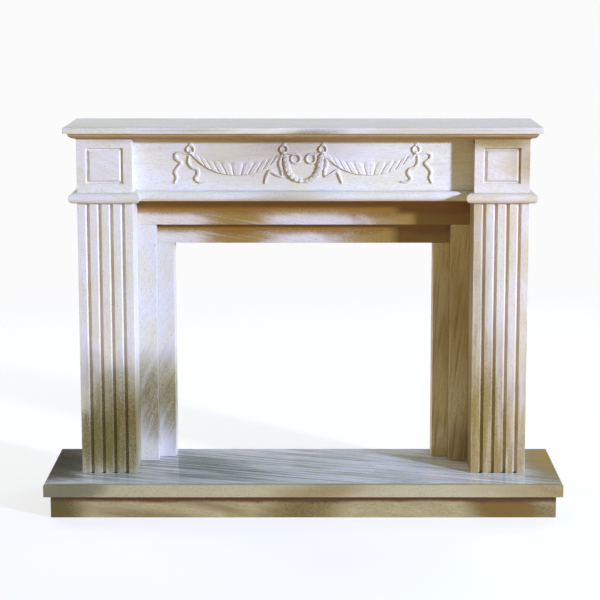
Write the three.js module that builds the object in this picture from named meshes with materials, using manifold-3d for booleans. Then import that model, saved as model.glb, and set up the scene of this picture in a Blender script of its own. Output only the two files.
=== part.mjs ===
// A carved marble fireplace mantel on its raised hearth.
//
// Millimetres, +Z up. +X is to the right of a person facing the fireplace and +Y points at the
// wall behind it. The origin is on the floor, at the middle of the hearth's length and depth.

import * as THREE from "three";
import Module from "manifold-3d";
import { mergeVertices } from "three/addons/utils/BufferGeometryUtils.js";

const wasm = await Module();
wasm.setup();

// Hearth: a polished slab lying on a solid plinth.
const HEARTH_LENGTH = 1640;
const HEARTH_DEPTH = 420;
const HEARTH_THICKNESS = 40;
const HEARTH_EDGE_RADIUS = 5;
const PLINTH_HEIGHT = 72;
const PLINTH_SETBACK = 20;

// Pilasters: fluted fronts, with returns running back to the wall and a hollow between them.
const PILASTER_WIDTH = 175;
const PILASTER_DEPTH = 285;
const PILASTER_CENTRE = 625;
const PILASTER_TOP = 990;
const PILASTER_WALL = 32;
const FLUTE_COUNT = 4;
const FLUTE_PITCH = 37;
const FLUTE_WIDTH = 14;
const FLUTE_DEPTH = 8;

// Capitals: a half-round band over each pilaster.
const BAND_HEIGHT = 32;
const CAPITAL_PROJECTION = 25.5;

// Corner blocks above the capitals, each with a raised panel inside a sunk border.
const BLOCK_HEIGHT = 170;
const PANEL_WIDTH = 118;
const PANEL_HEIGHT = 114;
const PANEL_SINKING = 8;
const PANEL_WALL_SLOPE = 3.5;
const PANEL_GROOVE = 1.5;
const PANEL_BEVEL = 8;
const PANEL_FIELD_SETBACK = 1;

// Frieze: a carved beam between the blocks, its lower band running between the capitals.
const FRIEZE_SETBACK = 57;
const FRIEZE_THICKNESS = 45;
const FRIEZE_BAND_PROJECTION = 28;

// Shelf and the moulding that carries it.
const BED_HEIGHT = 20;
const BED_FILLET = 3.5;
const BED_FILLET_HEIGHT = 2.5;
const BED_PROJECTION = 24.5;
const SHELF_OVERHANG = 37.5;
const SHELF_THICKNESS = 20;
const SHELF_EDGE_RADIUS = 6;

// Stepped frames around the fire opening: half the opening's width, and the height of its head.
const OUTER_HALF_WIDTH = 478;
const OUTER_HEAD = 900;
const OUTER_SETBACK = 145;
const INNER_HALF_WIDTH = 425;
const INNER_HEAD = 832;
const INNER_SETBACK = 195;

// Carving on the frieze: bows, ribbons, garlands and the wreath. Knots, tails and the centre of
// the curl are [across, up] from the middle of the frieze's face, and angles are in degrees.
const OUTER_KNOT = [358, 36];
const INNER_KNOT = [62, 36];
const KNOT_HALF_WIDTH = 9;
const KNOT_HALF_HEIGHT = 6;
const KNOT_HEIGHT = 10;
const KNOT_DETAIL = 1;
const BOW_LOOP_RADIUS = 11.5;
const BOW_LOOP_ANGLES = [-80, 260];
const BOW_LOOP_PLACES = 9;
const BOW_LOOP_STEPS = 16;
const LOOP_HALF_WIDTH = 3.2;
const RIBBON_HALF_WIDTH = 6;
const RIBBON_TIP = 2.5;
const RIBBON_FULLNESS = 0.6;
const RIBBON_HEIGHT = 7;
const RIBBON_STEPS_PER_PLACE = 3;
const OUTER_TAIL = [
  [366, 34], [386, 36], [404, 32], [403, 18], [387, 4], [400, -14], [407, -26], [402, -42], [408, -60],
];
const INNER_TAIL = [
  [362, 26], [363, 6], [352, -11], [337, -17], [333, -31], [341, -46], [330, -57], [309, -56],
];
const WREATH_TAIL = [[65, 30], [72, 14], [74, -2], [69, -20], [68, -38]];
const WREATH_TAIL_FOLD = [[68, -41], [87, -33], [106, -22], [114, -33], [118, -46], [122, -61]];
const WREATH_HALF_WIDTH = 53;
const WREATH_DROP = 54;
const WREATH_ANGLES = [-88, 0];
const WREATH_PLACES = 7;
const WREATH_TOP_RUN = [4, -12];
const WREATH_LIMB_HALF_WIDTH = 12;
const WREATH_LIMB_FOOT = 8;
const WREATH_LIMB_FLARE = 2;
const WREATH_LIMB_HEIGHT = 12;
const WREATH_LIMB_STEPS = 16;
const CURL_CENTRE = [25, 17];
const CURL_RADII = [14, 12];
const CURL_ANGLES = [70, 385];
const CURL_PLACES = 9;
const CURL_LINK = 4;
const GARLAND_LOW = -34;
const GARLAND_FULLNESS = 2.5;
const GARLAND_PLACES = 11;
const GARLAND_STEM_HALF_WIDTH = 5;
const GARLAND_STEM_HEIGHT = 6;
const GARLAND_STEM_STEPS = 22;
const GARLAND_LEAVES = 11;
const GARLAND_LEAF_REACH = 0.8;
const GARLAND_LEAF_LENGTH = 37;
const GARLAND_LEAF_SHORTENING = 0.45;
const GARLAND_LEAF_HALF_WIDTH = 13;
const GARLAND_LEAF_HEIGHT = 8;
const GARLAND_LEAF_LEAN = 0.4;
const GARLAND_LEAF_PARTING = 4;
const GARLAND_LEAF_STEPS = 5;
const CARVING_ROOT = 3;

// Arris left on a sawn lower edge, and the open joint beside the frieze band.
const ARRIS = 1.5;
const JOINT = 0.3;

// Levels and planes that follow from the sizes above.
const WALL_Y = HEARTH_DEPTH / 2;
const HEARTH_TOP = PLINTH_HEIGHT + HEARTH_THICKNESS;
const PILASTER_FRONT = WALL_Y - PILASTER_DEPTH;
const PILASTER_INNER = PILASTER_CENTRE - PILASTER_WIDTH / 2;
const PILASTER_OUTER = PILASTER_CENTRE + PILASTER_WIDTH / 2;
const BLOCK_BASE = PILASTER_TOP + BAND_HEIGHT;
const BLOCK_TOP = BLOCK_BASE + BLOCK_HEIGHT;
const SHELF_BASE = BLOCK_TOP + BED_HEIGHT;
const FRIEZE_FACE = PILASTER_FRONT + FRIEZE_SETBACK;
const FRIEZE_MIDDLE = (BLOCK_BASE + BLOCK_TOP) / 2;

const HALF_ROUND_STEPS = 8;
const QUARTER_STEPS = 5;

// Shells and solids

// Joins a stack of rings, each with the same number of points, and closes both ends. The rings
// run anticlockwise when looked at from the end that the stack grows towards.
function solidFromRings(rings, outline) {
  const count = rings[0].length;
  const positions = rings.flat().flatMap((point) => point.toArray());
  const index = [];
  for (let ring = 0; ring + 1 < rings.length; ring += 1) {
    for (let side = 0; side < count; side += 1) {
      const next = (side + 1) % count;
      const a = ring * count + side;
      const b = ring * count + next;
      const c = a + count;
      const d = b + count;
      index.push(a, b, d, a, d, c);
    }
  }
  const last = (rings.length - 1) * count;
  for (const [a, b, c] of THREE.ShapeUtils.triangulateShape(outline, [])) {
    index.push(a, c, b, last + a, last + b, last + c);
  }
  const geometry = new THREE.BufferGeometry();
  geometry.setAttribute("position", new THREE.Float32BufferAttribute(positions, 3));
  geometry.setIndex(index);
  return geometry;
}

// A slab with one moulding worked along its front and both ends, mitred at the corners and sawn
// flat at the wall. The profile lists [outset, height] pairs from the bottom up.
function mouldedSlab(xMin, xMax, yFront, profile) {
  const rings = profile.map(([outset, z]) => [
    new THREE.Vector3(xMin - outset, yFront - outset, z),
    new THREE.Vector3(xMax + outset, yFront - outset, z),
    new THREE.Vector3(xMax + outset, WALL_Y, z),
    new THREE.Vector3(xMin - outset, WALL_Y, z),
  ]);
  return solidFromRings(rings, rings[0].map((point) => new THREE.Vector2(point.x, point.y)));
}

// A straight beam along X with the given cross-section, a list of [y, z] pairs running
// anticlockwise as seen from the +X end.
function beam(section, xMin, xMax) {
  const rings = [xMin, xMax].map((x) => section.map(([y, z]) => new THREE.Vector3(x, y, z)));
  return solidFromRings(rings, section.map(([y, z]) => new THREE.Vector2(y, z)));
}

// A squared block between two opposite corners.
function block(low, high) {
  const geometry = new THREE.BoxGeometry(high[0] - low[0], high[1] - low[1], high[2] - low[2]);
  geometry.translate((low[0] + high[0]) / 2, (low[1] + high[1]) / 2, (low[2] + high[2]) / 2);
  return geometry;
}

function toManifold(source) {
  const geometry = source.clone();
  geometry.deleteAttribute("normal");
  geometry.deleteAttribute("uv");
  const merged = mergeVertices(geometry);
  return new wasm.Manifold(new wasm.Mesh({
    numProp: 3,
    vertProperties: new Float32Array(merged.attributes.position.array),
    triVerts: new Uint32Array(merged.index.array),
  }));
}

function toGeometry(manifold) {
  const mesh = manifold.getMesh();
  const geometry = new THREE.BufferGeometry();
  geometry.setAttribute("position", new THREE.BufferAttribute(mesh.vertProperties, 3));
  geometry.setIndex(new THREE.BufferAttribute(mesh.triVerts, 1));
  return geometry;
}

// Mouldings

// Points of a half-round nose between two heights, from its bottom edge to its top edge.
function halfRound(outsetAtEdge, bottom, top) {
  const radius = (top - bottom) / 2;
  return Array.from({ length: HALF_ROUND_STEPS + 1 }, (_, step) => {
    const angle = -Math.PI / 2 + (Math.PI * step) / HALF_ROUND_STEPS;
    return [outsetAtEdge + radius * Math.cos(angle), bottom + radius * (1 + Math.sin(angle))];
  });
}

// A slab's edge: a small arris below and a rounded edge above.
function easedEdge(bottom, top, radius) {
  const rounded = Array.from({ length: QUARTER_STEPS + 1 }, (_, step) => {
    const angle = (Math.PI / 2) * (step / QUARTER_STEPS);
    return [radius * (Math.cos(angle) - 1), top - radius * (1 - Math.sin(angle))];
  });
  return [[-ARRIS, bottom], [0, bottom + ARRIS], ...rounded];
}

// The bed moulding: a small fillet, then a swelling quarter-round up to the shelf.
function bedProfile(bottom, top) {
  const swell = BED_PROJECTION - BED_FILLET;
  const rise = top - bottom - BED_FILLET_HEIGHT;
  const rounded = Array.from({ length: QUARTER_STEPS + 1 }, (_, step) => {
    const angle = (Math.PI / 2) * (1 - step / QUARTER_STEPS);
    return [BED_FILLET + swell * Math.cos(angle), top - rise * Math.sin(angle)];
  });
  return [[BED_FILLET, bottom], ...rounded];
}

// Hearth

function hearthPlinth() {
  const half = HEARTH_LENGTH / 2 - PLINTH_SETBACK;
  return block([-half, -WALL_Y + PLINTH_SETBACK, 0], [half, WALL_Y, PLINTH_HEIGHT]);
}

function hearthSlab() {
  const half = HEARTH_LENGTH / 2;
  const profile = easedEdge(PLINTH_HEIGHT, HEARTH_TOP, HEARTH_EDGE_RADIUS);
  return mouldedSlab(-half, half, -WALL_Y, profile);
}

// Pilasters, capitals and corner blocks, all centred on the given x

// Plan of a piece with a hollow back: a front wall and two returns that reach the wall behind.
function hollowBackedPlan(centre) {
  const half = PILASTER_WIDTH / 2;
  const inner = half - PILASTER_WALL;
  const plan = new THREE.Shape();
  plan.moveTo(centre + half, PILASTER_FRONT);
  plan.lineTo(centre + half, WALL_Y);
  plan.lineTo(centre + inner, WALL_Y);
  plan.lineTo(centre + inner, PILASTER_FRONT + PILASTER_WALL);
  plan.lineTo(centre - inner, PILASTER_FRONT + PILASTER_WALL);
  plan.lineTo(centre - inner, WALL_Y);
  plan.lineTo(centre - half, WALL_Y);
  plan.lineTo(centre - half, PILASTER_FRONT);
  return plan;
}

function flutedPilaster(centre) {
  const plan = hollowBackedPlan(centre);
  for (let flute = 0; flute < FLUTE_COUNT; flute += 1) {
    const x = centre + (flute - (FLUTE_COUNT - 1) / 2) * FLUTE_PITCH;
    plan.lineTo(x - FLUTE_WIDTH / 2, PILASTER_FRONT);
    plan.absellipse(x, PILASTER_FRONT, FLUTE_WIDTH / 2, FLUTE_DEPTH, Math.PI, 0, true);
  }
  plan.closePath();
  const height = PILASTER_TOP - HEARTH_TOP;
  const options = { depth: height, bevelEnabled: false, curveSegments: QUARTER_STEPS };
  return new THREE.ExtrudeGeometry(plan, options).translate(0, 0, HEARTH_TOP);
}

function capital(centre) {
  const half = PILASTER_WIDTH / 2;
  const edge = CAPITAL_PROJECTION - BAND_HEIGHT / 2;
  const profile = halfRound(edge, PILASTER_TOP, BLOCK_BASE);
  return mouldedSlab(centre - half, centre + half, PILASTER_FRONT, profile);
}

// A rectangle on the block's face, at a depth behind it and drawn in from the panel's border.
function panelRing(centre, drawnIn, depth) {
  const halfWidth = PANEL_WIDTH / 2 - drawnIn;
  const halfHeight = PANEL_HEIGHT / 2 - drawnIn;
  const y = PILASTER_FRONT + depth;
  return [
    new THREE.Vector3(centre + halfWidth, y, FRIEZE_MIDDLE - halfHeight),
    new THREE.Vector3(centre - halfWidth, y, FRIEZE_MIDDLE - halfHeight),
    new THREE.Vector3(centre - halfWidth, y, FRIEZE_MIDDLE + halfHeight),
    new THREE.Vector3(centre + halfWidth, y, FRIEZE_MIDDLE + halfHeight),
  ];
}

function panelledBlock(centre) {
  const options = { depth: BLOCK_HEIGHT, bevelEnabled: false };
  const plan = hollowBackedPlan(centre);
  const body = new THREE.ExtrudeGeometry(plan, options).translate(0, 0, BLOCK_BASE);
  const clear = PANEL_SINKING;
  const slope = PANEL_WALL_SLOPE;
  const bevelStart = slope + PANEL_GROOVE;
  const square = [[1, -1], [-1, -1], [-1, 1], [1, 1]].map(([x, z]) => new THREE.Vector2(-x, z));
  const border = solidFromRings([
    panelRing(centre, -slope, -clear),
    panelRing(centre, slope, PANEL_SINKING),
  ], square);
  const field = solidFromRings([
    panelRing(centre, bevelStart + PANEL_BEVEL, PANEL_FIELD_SETBACK),
    panelRing(centre, bevelStart, PANEL_SINKING),
    panelRing(centre, bevelStart, PANEL_SINKING + clear),
  ], square);
  const sinking = toManifold(border).subtract(toManifold(field));
  return toGeometry(toManifold(body).subtract(sinking));
}

// Carving on the frieze. Places are [across, up] pairs, measured along the face from its middle.

// Cross-sections of a raised stroke as [side, height] fractions, from its right edge to its left.
const ROPE = [[1, 0.2], [0.62, 0.78], [0, 1], [-0.62, 0.78], [-1, 0.2]];
const RIBBON = [[1, 1], [0, 0.55], [-1, 1]];
const LEAF = [[1, 0.3], [0, 1], [-1, 0.3]];

// A leaf's middle line as fractions of its lean and its length, and its outline and its height as
// fractions of their full values: the part of a sine's arch that the outline uses, how square
// that arch is, and how high the leaf stands at its two ends.
const LEAF_LINE = [[-0.5, -0.03], [0.6, 0.45], [1, 1]];
const LEAF_ARCH = [0.2, 0.94];
const LEAF_SQUARENESS = 0.8;
const LEAF_END_HEIGHT = 0.55;

// Sweeps a section along a path on the face. Its root is let into the stone, and its half-width
// and height are functions of the fraction run along the path.
function stroke(path, section, steps, halfWidth, height) {
  const outline = [[-1, 0], [1, 0], ...section];
  const rings = Array.from({ length: steps + 1 }, (_, step) => {
    const run = step / steps;
    const middle = path.getPointAt(run);
    const along = path.getTangentAt(run);
    return outline.map(([side, level], corner) => {
      const shift = side * halfWidth(run);
      const proud = corner < 2 ? -CARVING_ROOT : level * height(run);
      const across = middle.x - along.y * shift;
      const up = middle.y + along.x * shift;
      return new THREE.Vector3(across, FRIEZE_FACE - proud, FRIEZE_MIDDLE + up);
    });
  });
  const root = -CARVING_ROOT / height(0.5);
  const flat = outline.map(([side, level], corner) => {
    return new THREE.Vector2(side, corner < 2 ? root : level);
  });
  return solidFromRings(rings, flat);
}

// A smooth path through a few places, mirrored to the left of the middle when side is -1.
function smoothPath(side, places) {
  const points = places.map(([across, up]) => new THREE.Vector3(side * across, up, 0));
  return new THREE.CatmullRomCurve3(points, false, "centripetal");
}

function evenly(value) {
  return () => value;
}

// Grows from one end, stays full along the middle and closes again at the other end.
function swelling(full, ends) {
  return (run) => ends + (full - ends) * Math.sin(Math.PI * run) ** RIBBON_FULLNESS;
}

function ribbon(side, places) {
  const steps = RIBBON_STEPS_PER_PLACE * (places.length - 1);
  const halfWidth = swelling(RIBBON_HALF_WIDTH, RIBBON_TIP);
  return stroke(smoothPath(side, places), RIBBON, steps, halfWidth, evenly(RIBBON_HEIGHT));
}

// Places on a turn of ribbon round a centre, from one angle to another in degrees, while its
// radius changes evenly.
function turn(centre, radii, degrees, count) {
  return Array.from({ length: count }, (_, step) => {
    const run = step / (count - 1);
    const angle = THREE.MathUtils.degToRad(THREE.MathUtils.lerp(degrees[0], degrees[1], run));
    const radius = THREE.MathUtils.lerp(radii[0], radii[1], run);
    return [centre[0] + radius * Math.cos(angle), centre[1] + radius * Math.sin(angle)];
  });
}

// A bow: a knot with one loop standing over it.
function bow(side, knot) {
  const loopCentre = [knot[0], knot[1] + BOW_LOOP_RADIUS];
  const radii = [BOW_LOOP_RADIUS, BOW_LOOP_RADIUS];
  const loop = smoothPath(side, turn(loopCentre, radii, BOW_LOOP_ANGLES, BOW_LOOP_PLACES));
  const boss = new THREE.IcosahedronGeometry(1, KNOT_DETAIL);
  boss.scale(KNOT_HALF_WIDTH, KNOT_HEIGHT, KNOT_HALF_HEIGHT);
  boss.translate(side * knot[0], FRIEZE_FACE, FRIEZE_MIDDLE + knot[1]);
  return [
    stroke(loop, RIBBON, BOW_LOOP_STEPS, evenly(LOOP_HALF_WIDTH), evenly(RIBBON_HEIGHT)),
    boss,
  ];
}

// Place on the garland's lower edge, from -1 at its inner bow to 1 at its outer bow.
function garlandPlace(span) {
  const middle = (INNER_KNOT[0] + OUTER_KNOT[0]) / 2;
  const reach = (OUTER_KNOT[0] - INNER_KNOT[0]) / 2;
  const rise = INNER_KNOT[1] - GARLAND_LOW;
  return [middle + reach * span, GARLAND_LOW + rise * Math.abs(span) ** GARLAND_FULLNESS];
}

// A leaf leaves the garland along its edge and turns upright towards its tip.
function garlandLeaf(side, span) {
  const [across, up] = garlandPlace(span);
  const length = GARLAND_LEAF_LENGTH * (1 - GARLAND_LEAF_SHORTENING * span * span);
  const lean = length * GARLAND_LEAF_LEAN * Math.tanh(GARLAND_LEAF_PARTING * span);
  const line = LEAF_LINE.map(([out, along]) => [across + lean * out, up + length * along]);
  const halfWidth = (run) => {
    const arch = Math.sin(Math.PI * THREE.MathUtils.lerp(LEAF_ARCH[0], LEAF_ARCH[1], run));
    return GARLAND_LEAF_HALF_WIDTH * arch ** LEAF_SQUARENESS;
  };
  const height = (run) => {
    return GARLAND_LEAF_HEIGHT * THREE.MathUtils.lerp(LEAF_END_HEIGHT, 1, Math.sin(Math.PI * run));
  };
  return stroke(smoothPath(side, line), LEAF, GARLAND_LEAF_STEPS, halfWidth, height);
}

// Numbers spread evenly from -1 to 1.
function spread(count) {
  return Array.from({ length: count }, (_, step) => (2 * step) / (count - 1) - 1);
}

function garland(side) {
  const edge = smoothPath(side, spread(GARLAND_PLACES).map(garlandPlace));
  const halfWidth = evenly(GARLAND_STEM_HALF_WIDTH);
  const stem = stroke(edge, ROPE, GARLAND_STEM_STEPS, halfWidth, evenly(GARLAND_STEM_HEIGHT));
  const spans = spread(GARLAND_LEAVES).map((span) => GARLAND_LEAF_REACH * span);
  return [stem, ...spans.map((span) => garlandLeaf(side, span))];
}

// One limb of the wreath: down from the inner bow and round to the middle of the face.
function wreathLimb(side) {
  const curve = turn([0, 0], [1, 1], WREATH_ANGLES, WREATH_PLACES)
    .map(([across, up]) => [WREATH_HALF_WIDTH * across, WREATH_DROP * up]);
  const top = [WREATH_HALF_WIDTH + WREATH_TOP_RUN[0], INNER_KNOT[1] + WREATH_TOP_RUN[1]];
  const halfWidth = (run) => {
    const flare = Math.min(1, WREATH_LIMB_FLARE * run);
    return THREE.MathUtils.lerp(WREATH_LIMB_FOOT, WREATH_LIMB_HALF_WIDTH, flare);
  };
  const path = smoothPath(side, [...curve, top]);
  return stroke(path, ROPE, WREATH_LIMB_STEPS, halfWidth, evenly(WREATH_LIMB_HEIGHT));
}

// The curl that runs from an inner bow into the mouth of the wreath.
function curl(side) {
  const link = [INNER_KNOT[0] - CURL_LINK, INNER_KNOT[1]];
  return ribbon(side, [link, ...turn(CURL_CENTRE, CURL_RADII, CURL_ANGLES, CURL_PLACES)]);
}

function carving(side) {
  return [
    ...garland(side),
    ...bow(side, OUTER_KNOT),
    ...bow(side, INNER_KNOT),
    ribbon(side, OUTER_TAIL),
    ribbon(side, INNER_TAIL),
    ribbon(side, WREATH_TAIL),
    ribbon(side, WREATH_TAIL_FOLD),
    wreathLimb(side),
    curl(side),
  ];
}

// Frieze

function carvedFrieze() {
  const back = FRIEZE_FACE + FRIEZE_THICKNESS;
  const bandEdge = -(FRIEZE_FACE - FRIEZE_BAND_PROJECTION + BAND_HEIGHT / 2);
  const nose = halfRound(bandEdge, PILASTER_TOP, BLOCK_BASE).map(([proud, z]) => [-proud, z]);
  const behind = [[back, BLOCK_BASE], [back, BLOCK_TOP]];
  const upper = [...behind, [FRIEZE_FACE, BLOCK_TOP], [FRIEZE_FACE, BLOCK_BASE]];
  const lower = [[WALL_Y, PILASTER_TOP], [WALL_Y, BLOCK_BASE], ...upper, ...nose.reverse()];
  const lowerHalf = PILASTER_INNER - CAPITAL_PROJECTION - JOINT;
  const beamBetweenCapitals = toManifold(beam(lower, -lowerHalf, lowerHalf));
  const beamBetweenBlocks = toManifold(beam(upper, -PILASTER_INNER, PILASTER_INNER));
  let stone = beamBetweenCapitals.add(beamBetweenBlocks);
  for (const piece of [...carving(1), ...carving(-1)]) {
    stone = stone.add(toManifold(piece));
  }
  return toGeometry(stone);
}

// Shelf

function bedMoulding() {
  const profile = bedProfile(BLOCK_TOP, SHELF_BASE);
  return mouldedSlab(-PILASTER_OUTER, PILASTER_OUTER, PILASTER_FRONT, profile);
}

function mantelshelf() {
  const half = PILASTER_OUTER + SHELF_OVERHANG;
  const profile = easedEdge(SHELF_BASE, SHELF_BASE + SHELF_THICKNESS, SHELF_EDGE_RADIUS);
  return mouldedSlab(-half, half, PILASTER_FRONT - SHELF_OVERHANG, profile);
}

// Frames around the opening

function jamb(side, nearHalf, farHalf, head, setback) {
  const xs = [side * nearHalf, side * farHalf].sort((a, b) => a - b);
  return block([xs[0], PILASTER_FRONT + setback, HEARTH_TOP], [xs[1], WALL_Y, head]);
}

function outerJamb(side) {
  return jamb(side, OUTER_HALF_WIDTH, PILASTER_INNER, OUTER_HEAD, OUTER_SETBACK);
}

function innerJamb(side) {
  return jamb(side, INNER_HALF_WIDTH, OUTER_HALF_WIDTH, INNER_HEAD, INNER_SETBACK);
}

function lintel(half, head, top, setback) {
  return block([-half, PILASTER_FRONT + setback, head], [half, WALL_Y, top]);
}

function outerLintel() {
  return lintel(PILASTER_INNER, OUTER_HEAD, PILASTER_TOP, OUTER_SETBACK);
}

function innerLintel() {
  return lintel(OUTER_HALF_WIDTH, INNER_HEAD, OUTER_HEAD, INNER_SETBACK);
}

// Finishes: one marble, honed on the carved and plain work and polished on the two slabs.
const HONED = { color: 0xe3dcd0, roughness: 0.45, metalness: 0 };
const POLISHED = { color: 0xe2e0e4, roughness: 0.18, metalness: 0 };

function piece(name, geometry, finish) {
  const material = new THREE.MeshStandardMaterial({ ...finish, flatShading: true });
  const mesh = new THREE.Mesh(geometry, material);
  mesh.name = name;
  return mesh;
}

const fireplace = new THREE.Group();
fireplace.add(
  piece("hearth_plinth", hearthPlinth(), HONED),
  piece("hearth_slab", hearthSlab(), POLISHED),
  piece("carved_frieze", carvedFrieze(), HONED),
  piece("bed_moulding", bedMoulding(), HONED),
  piece("mantelshelf", mantelshelf(), POLISHED),
  piece("outer_lintel", outerLintel(), HONED),
  piece("inner_lintel", innerLintel(), HONED),
);
for (const [hand, side] of [["left", -1], ["right", 1]]) {
  const centre = side * PILASTER_CENTRE;
  fireplace.add(
    piece(`${hand}_pilaster`, flutedPilaster(centre), HONED),
    piece(`${hand}_capital`, capital(centre), HONED),
    piece(`${hand}_corner_block`, panelledBlock(centre), HONED),
    piece(`${hand}_outer_jamb`, outerJamb(side), HONED),
    piece(`${hand}_inner_jamb`, innerJamb(side), HONED),
  );
}

export default fireplace;
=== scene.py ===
"""Visual model of a carved marble fireplace mantel on its raised hearth.

Every stone is cut from one cream marble. The carved and plain work is honed, and the two slabs,
the mantelshelf and the hearth, are polished. Metres, +Z up: +X is to the right of a person who
faces the fireplace, and +Y points at the wall behind it.
"""

import logging
import math
from collections.abc import Callable, Iterator, Sequence
from dataclasses import dataclass
from enum import Enum

import bmesh
import bpy
import numpy as np
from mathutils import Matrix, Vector


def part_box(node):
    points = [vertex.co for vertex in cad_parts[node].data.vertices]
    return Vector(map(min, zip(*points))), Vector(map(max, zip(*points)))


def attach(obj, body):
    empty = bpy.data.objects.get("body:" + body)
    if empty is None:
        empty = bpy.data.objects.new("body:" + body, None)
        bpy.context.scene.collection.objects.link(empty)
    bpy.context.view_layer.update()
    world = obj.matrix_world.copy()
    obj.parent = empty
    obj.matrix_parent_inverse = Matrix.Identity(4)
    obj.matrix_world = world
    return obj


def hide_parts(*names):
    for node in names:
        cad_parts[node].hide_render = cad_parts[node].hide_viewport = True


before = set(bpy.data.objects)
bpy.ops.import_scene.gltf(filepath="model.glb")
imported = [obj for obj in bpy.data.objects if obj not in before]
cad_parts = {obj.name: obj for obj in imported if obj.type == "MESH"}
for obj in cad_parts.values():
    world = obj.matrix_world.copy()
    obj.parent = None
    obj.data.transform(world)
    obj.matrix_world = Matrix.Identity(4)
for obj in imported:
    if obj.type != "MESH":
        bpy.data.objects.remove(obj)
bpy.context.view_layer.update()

LOG = logging.getLogger("mantel")
MM = 0.001
BODY = "root"

# Edges that meet at more than this many degrees are shaded as sharp.
SHARP_EDGE = 34
# A corner that turns by less than this many degrees belongs to a curve and isn't eased.
CURVE_TURN = 28
# The largest share of an edge that the easing at either of its ends may take.
EASING_SHARE = 0.45
# Steps in an eased corner, in a slab's rounded edge, and in a flute or a swelling moulding.
CORNER_STEPS = 4
EDGE_STEPS = 8
HOLLOW_STEPS = 14

# Steps between two places that a carved line passes through.
PATH_STEPS = 24

Place = tuple[float, float]
Point = tuple[float, float, float]
Colour = tuple[float, float, float, float]
Tree = bpy.types.NodeTree
Socket = bpy.types.NodeSocket
Curve = Callable[[np.ndarray], np.ndarray]
Section = Callable[[np.ndarray, np.ndarray], np.ndarray]


# Colour and nodes


def to_linear(code: str) -> Colour:
    """Turns an sRGB hex colour into the linear values that a shader takes.

    Args:
        code: The colour as "#rrggbb".

    Returns:
        Linear red, green and blue, and an alpha of 1.
    """
    channels = [int(code[start:start + 2], 16) / 255 for start in (1, 3, 5)]
    red, green, blue = (
        c / 12.92 if c <= 0.04045 else ((c + 0.055) / 1.055) ** 2.4 for c in channels
    )
    return red, green, blue, 1.0


def add_node(
    tree: Tree,
    kind: str,
    inputs: dict[int | str, object] | None = None,
    **settings: object,
) -> bpy.types.Node:
    """Adds one node with its settings and what goes into its sockets.

    Args:
        tree: The node tree that gets the node.
        kind: Blender's name for the kind of node.
        inputs: For each named or numbered input, the output that feeds it or its plain value.
        **settings: Properties of the node itself.

    Returns:
        The new node.
    """
    node = tree.nodes.new(kind)
    for name, setting in settings.items():
        setattr(node, name, setting)
    for socket, given in (inputs or {}).items():
        if isinstance(given, Socket):
            tree.links.new(given, node.inputs[socket])
        else:
            node.inputs[socket].default_value = given
    return node


def stretch(given: Place, wanted: Place = (0.0, 1.0)) -> dict[str, float]:
    """Gives the input values that stretch one range over another."""
    return {"From Min": given[0], "From Max": given[1], "To Min": wanted[0], "To Max": wanted[1]}


# Marble


class Finish(Enum):
    """How the face of a stone was worked after it was sawn."""

    HONED = "honed_marble"
    POLISHED = "polished_marble"


@dataclass(frozen=True)
class Surface:
    """What a finish gives the eye.

    Attributes:
        roughness: Roughness where the stone is densest.
        roughness_swing: How much rougher its softer streaks are.
        grain_relief: Height of the crystals that stand out of the face, in metres.
    """

    roughness: float
    roughness_swing: float
    grain_relief: float


# Honing stops at a fine grit: a satin face that spreads the light and shows no clear reflection.
# Polishing closes the face: it mirrors the uprights softly, a little less on the softer streaks.
SURFACES = {
    Finish.HONED: Surface(roughness=0.42, roughness_swing=0.12, grain_relief=0.05 * MM),
    Finish.POLISHED: Surface(roughness=0.13, roughness_swing=0.10, grain_relief=0.008 * MM),
}


@dataclass(frozen=True)
class DriftOrShade:
    """A cloud of ochre, olive or brown in a stone, stretched along an axis of its own. Most are
    stains; some are painted shade where a shadow falls.

    Attributes:
        centre: Where it is strongest.
        reach: About how far it spreads each way from there before it is gone.
        strength: How fully it covers the stone at its middle. Above 1, it covers more than that.
        turned: Turn about the front-to-back axis, in degrees.
        barred: How far the stone's pale streaks still show through it, from 0 to 1.
        colour: Its colour, if it isn't the marble's own ochre.
    """

    centre: Point
    reach: Point
    strength: float = 0.8
    turned: float = 0.0
    barred: float = 0.0
    colour: str = ""


@dataclass(frozen=True)
class Bed:
    """How one stone was cut from the quarry's bed.

    Attributes:
        lean: Angle of the bedding to the horizontal on the stone's face, in degrees.
        offset: Where in the bed it was cut, so that no two stones match.
        warmth: How much pale ochre runs in its streaks, from 0 to 1.
        streak_width: Distance between its broad streaks.
        drifts: Its clouds and its painted shade, from the lowest layer to the highest.
        skew: Angle of the bedding to the wall on the stone's top, in degrees.
    """

    lean: float
    offset: Point
    warmth: float = 0.5
    streak_width: float = 16 * MM
    drifts: tuple[DriftOrShade, ...] = ()
    skew: float = 0.0


@dataclass(frozen=True)
class Patterns:
    """The patterns of one stone, which its colours, its gloss and its grain share.

    Attributes:
        tree: The material's nodes.
        place: Coordinates of the whole mantel.
        layers: Coordinates with their first axis along the bedding.
        clouds: The soft patches, about 0 to 1 like all that follow.
        streaks: The broad streaks of the bedding.
        hairs: Its finest lines.
        crystals: The crystals.
    """

    tree: Tree
    place: Socket
    layers: Socket
    clouds: Socket
    streaks: Socket
    hairs: Socket
    crystals: Socket


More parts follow.
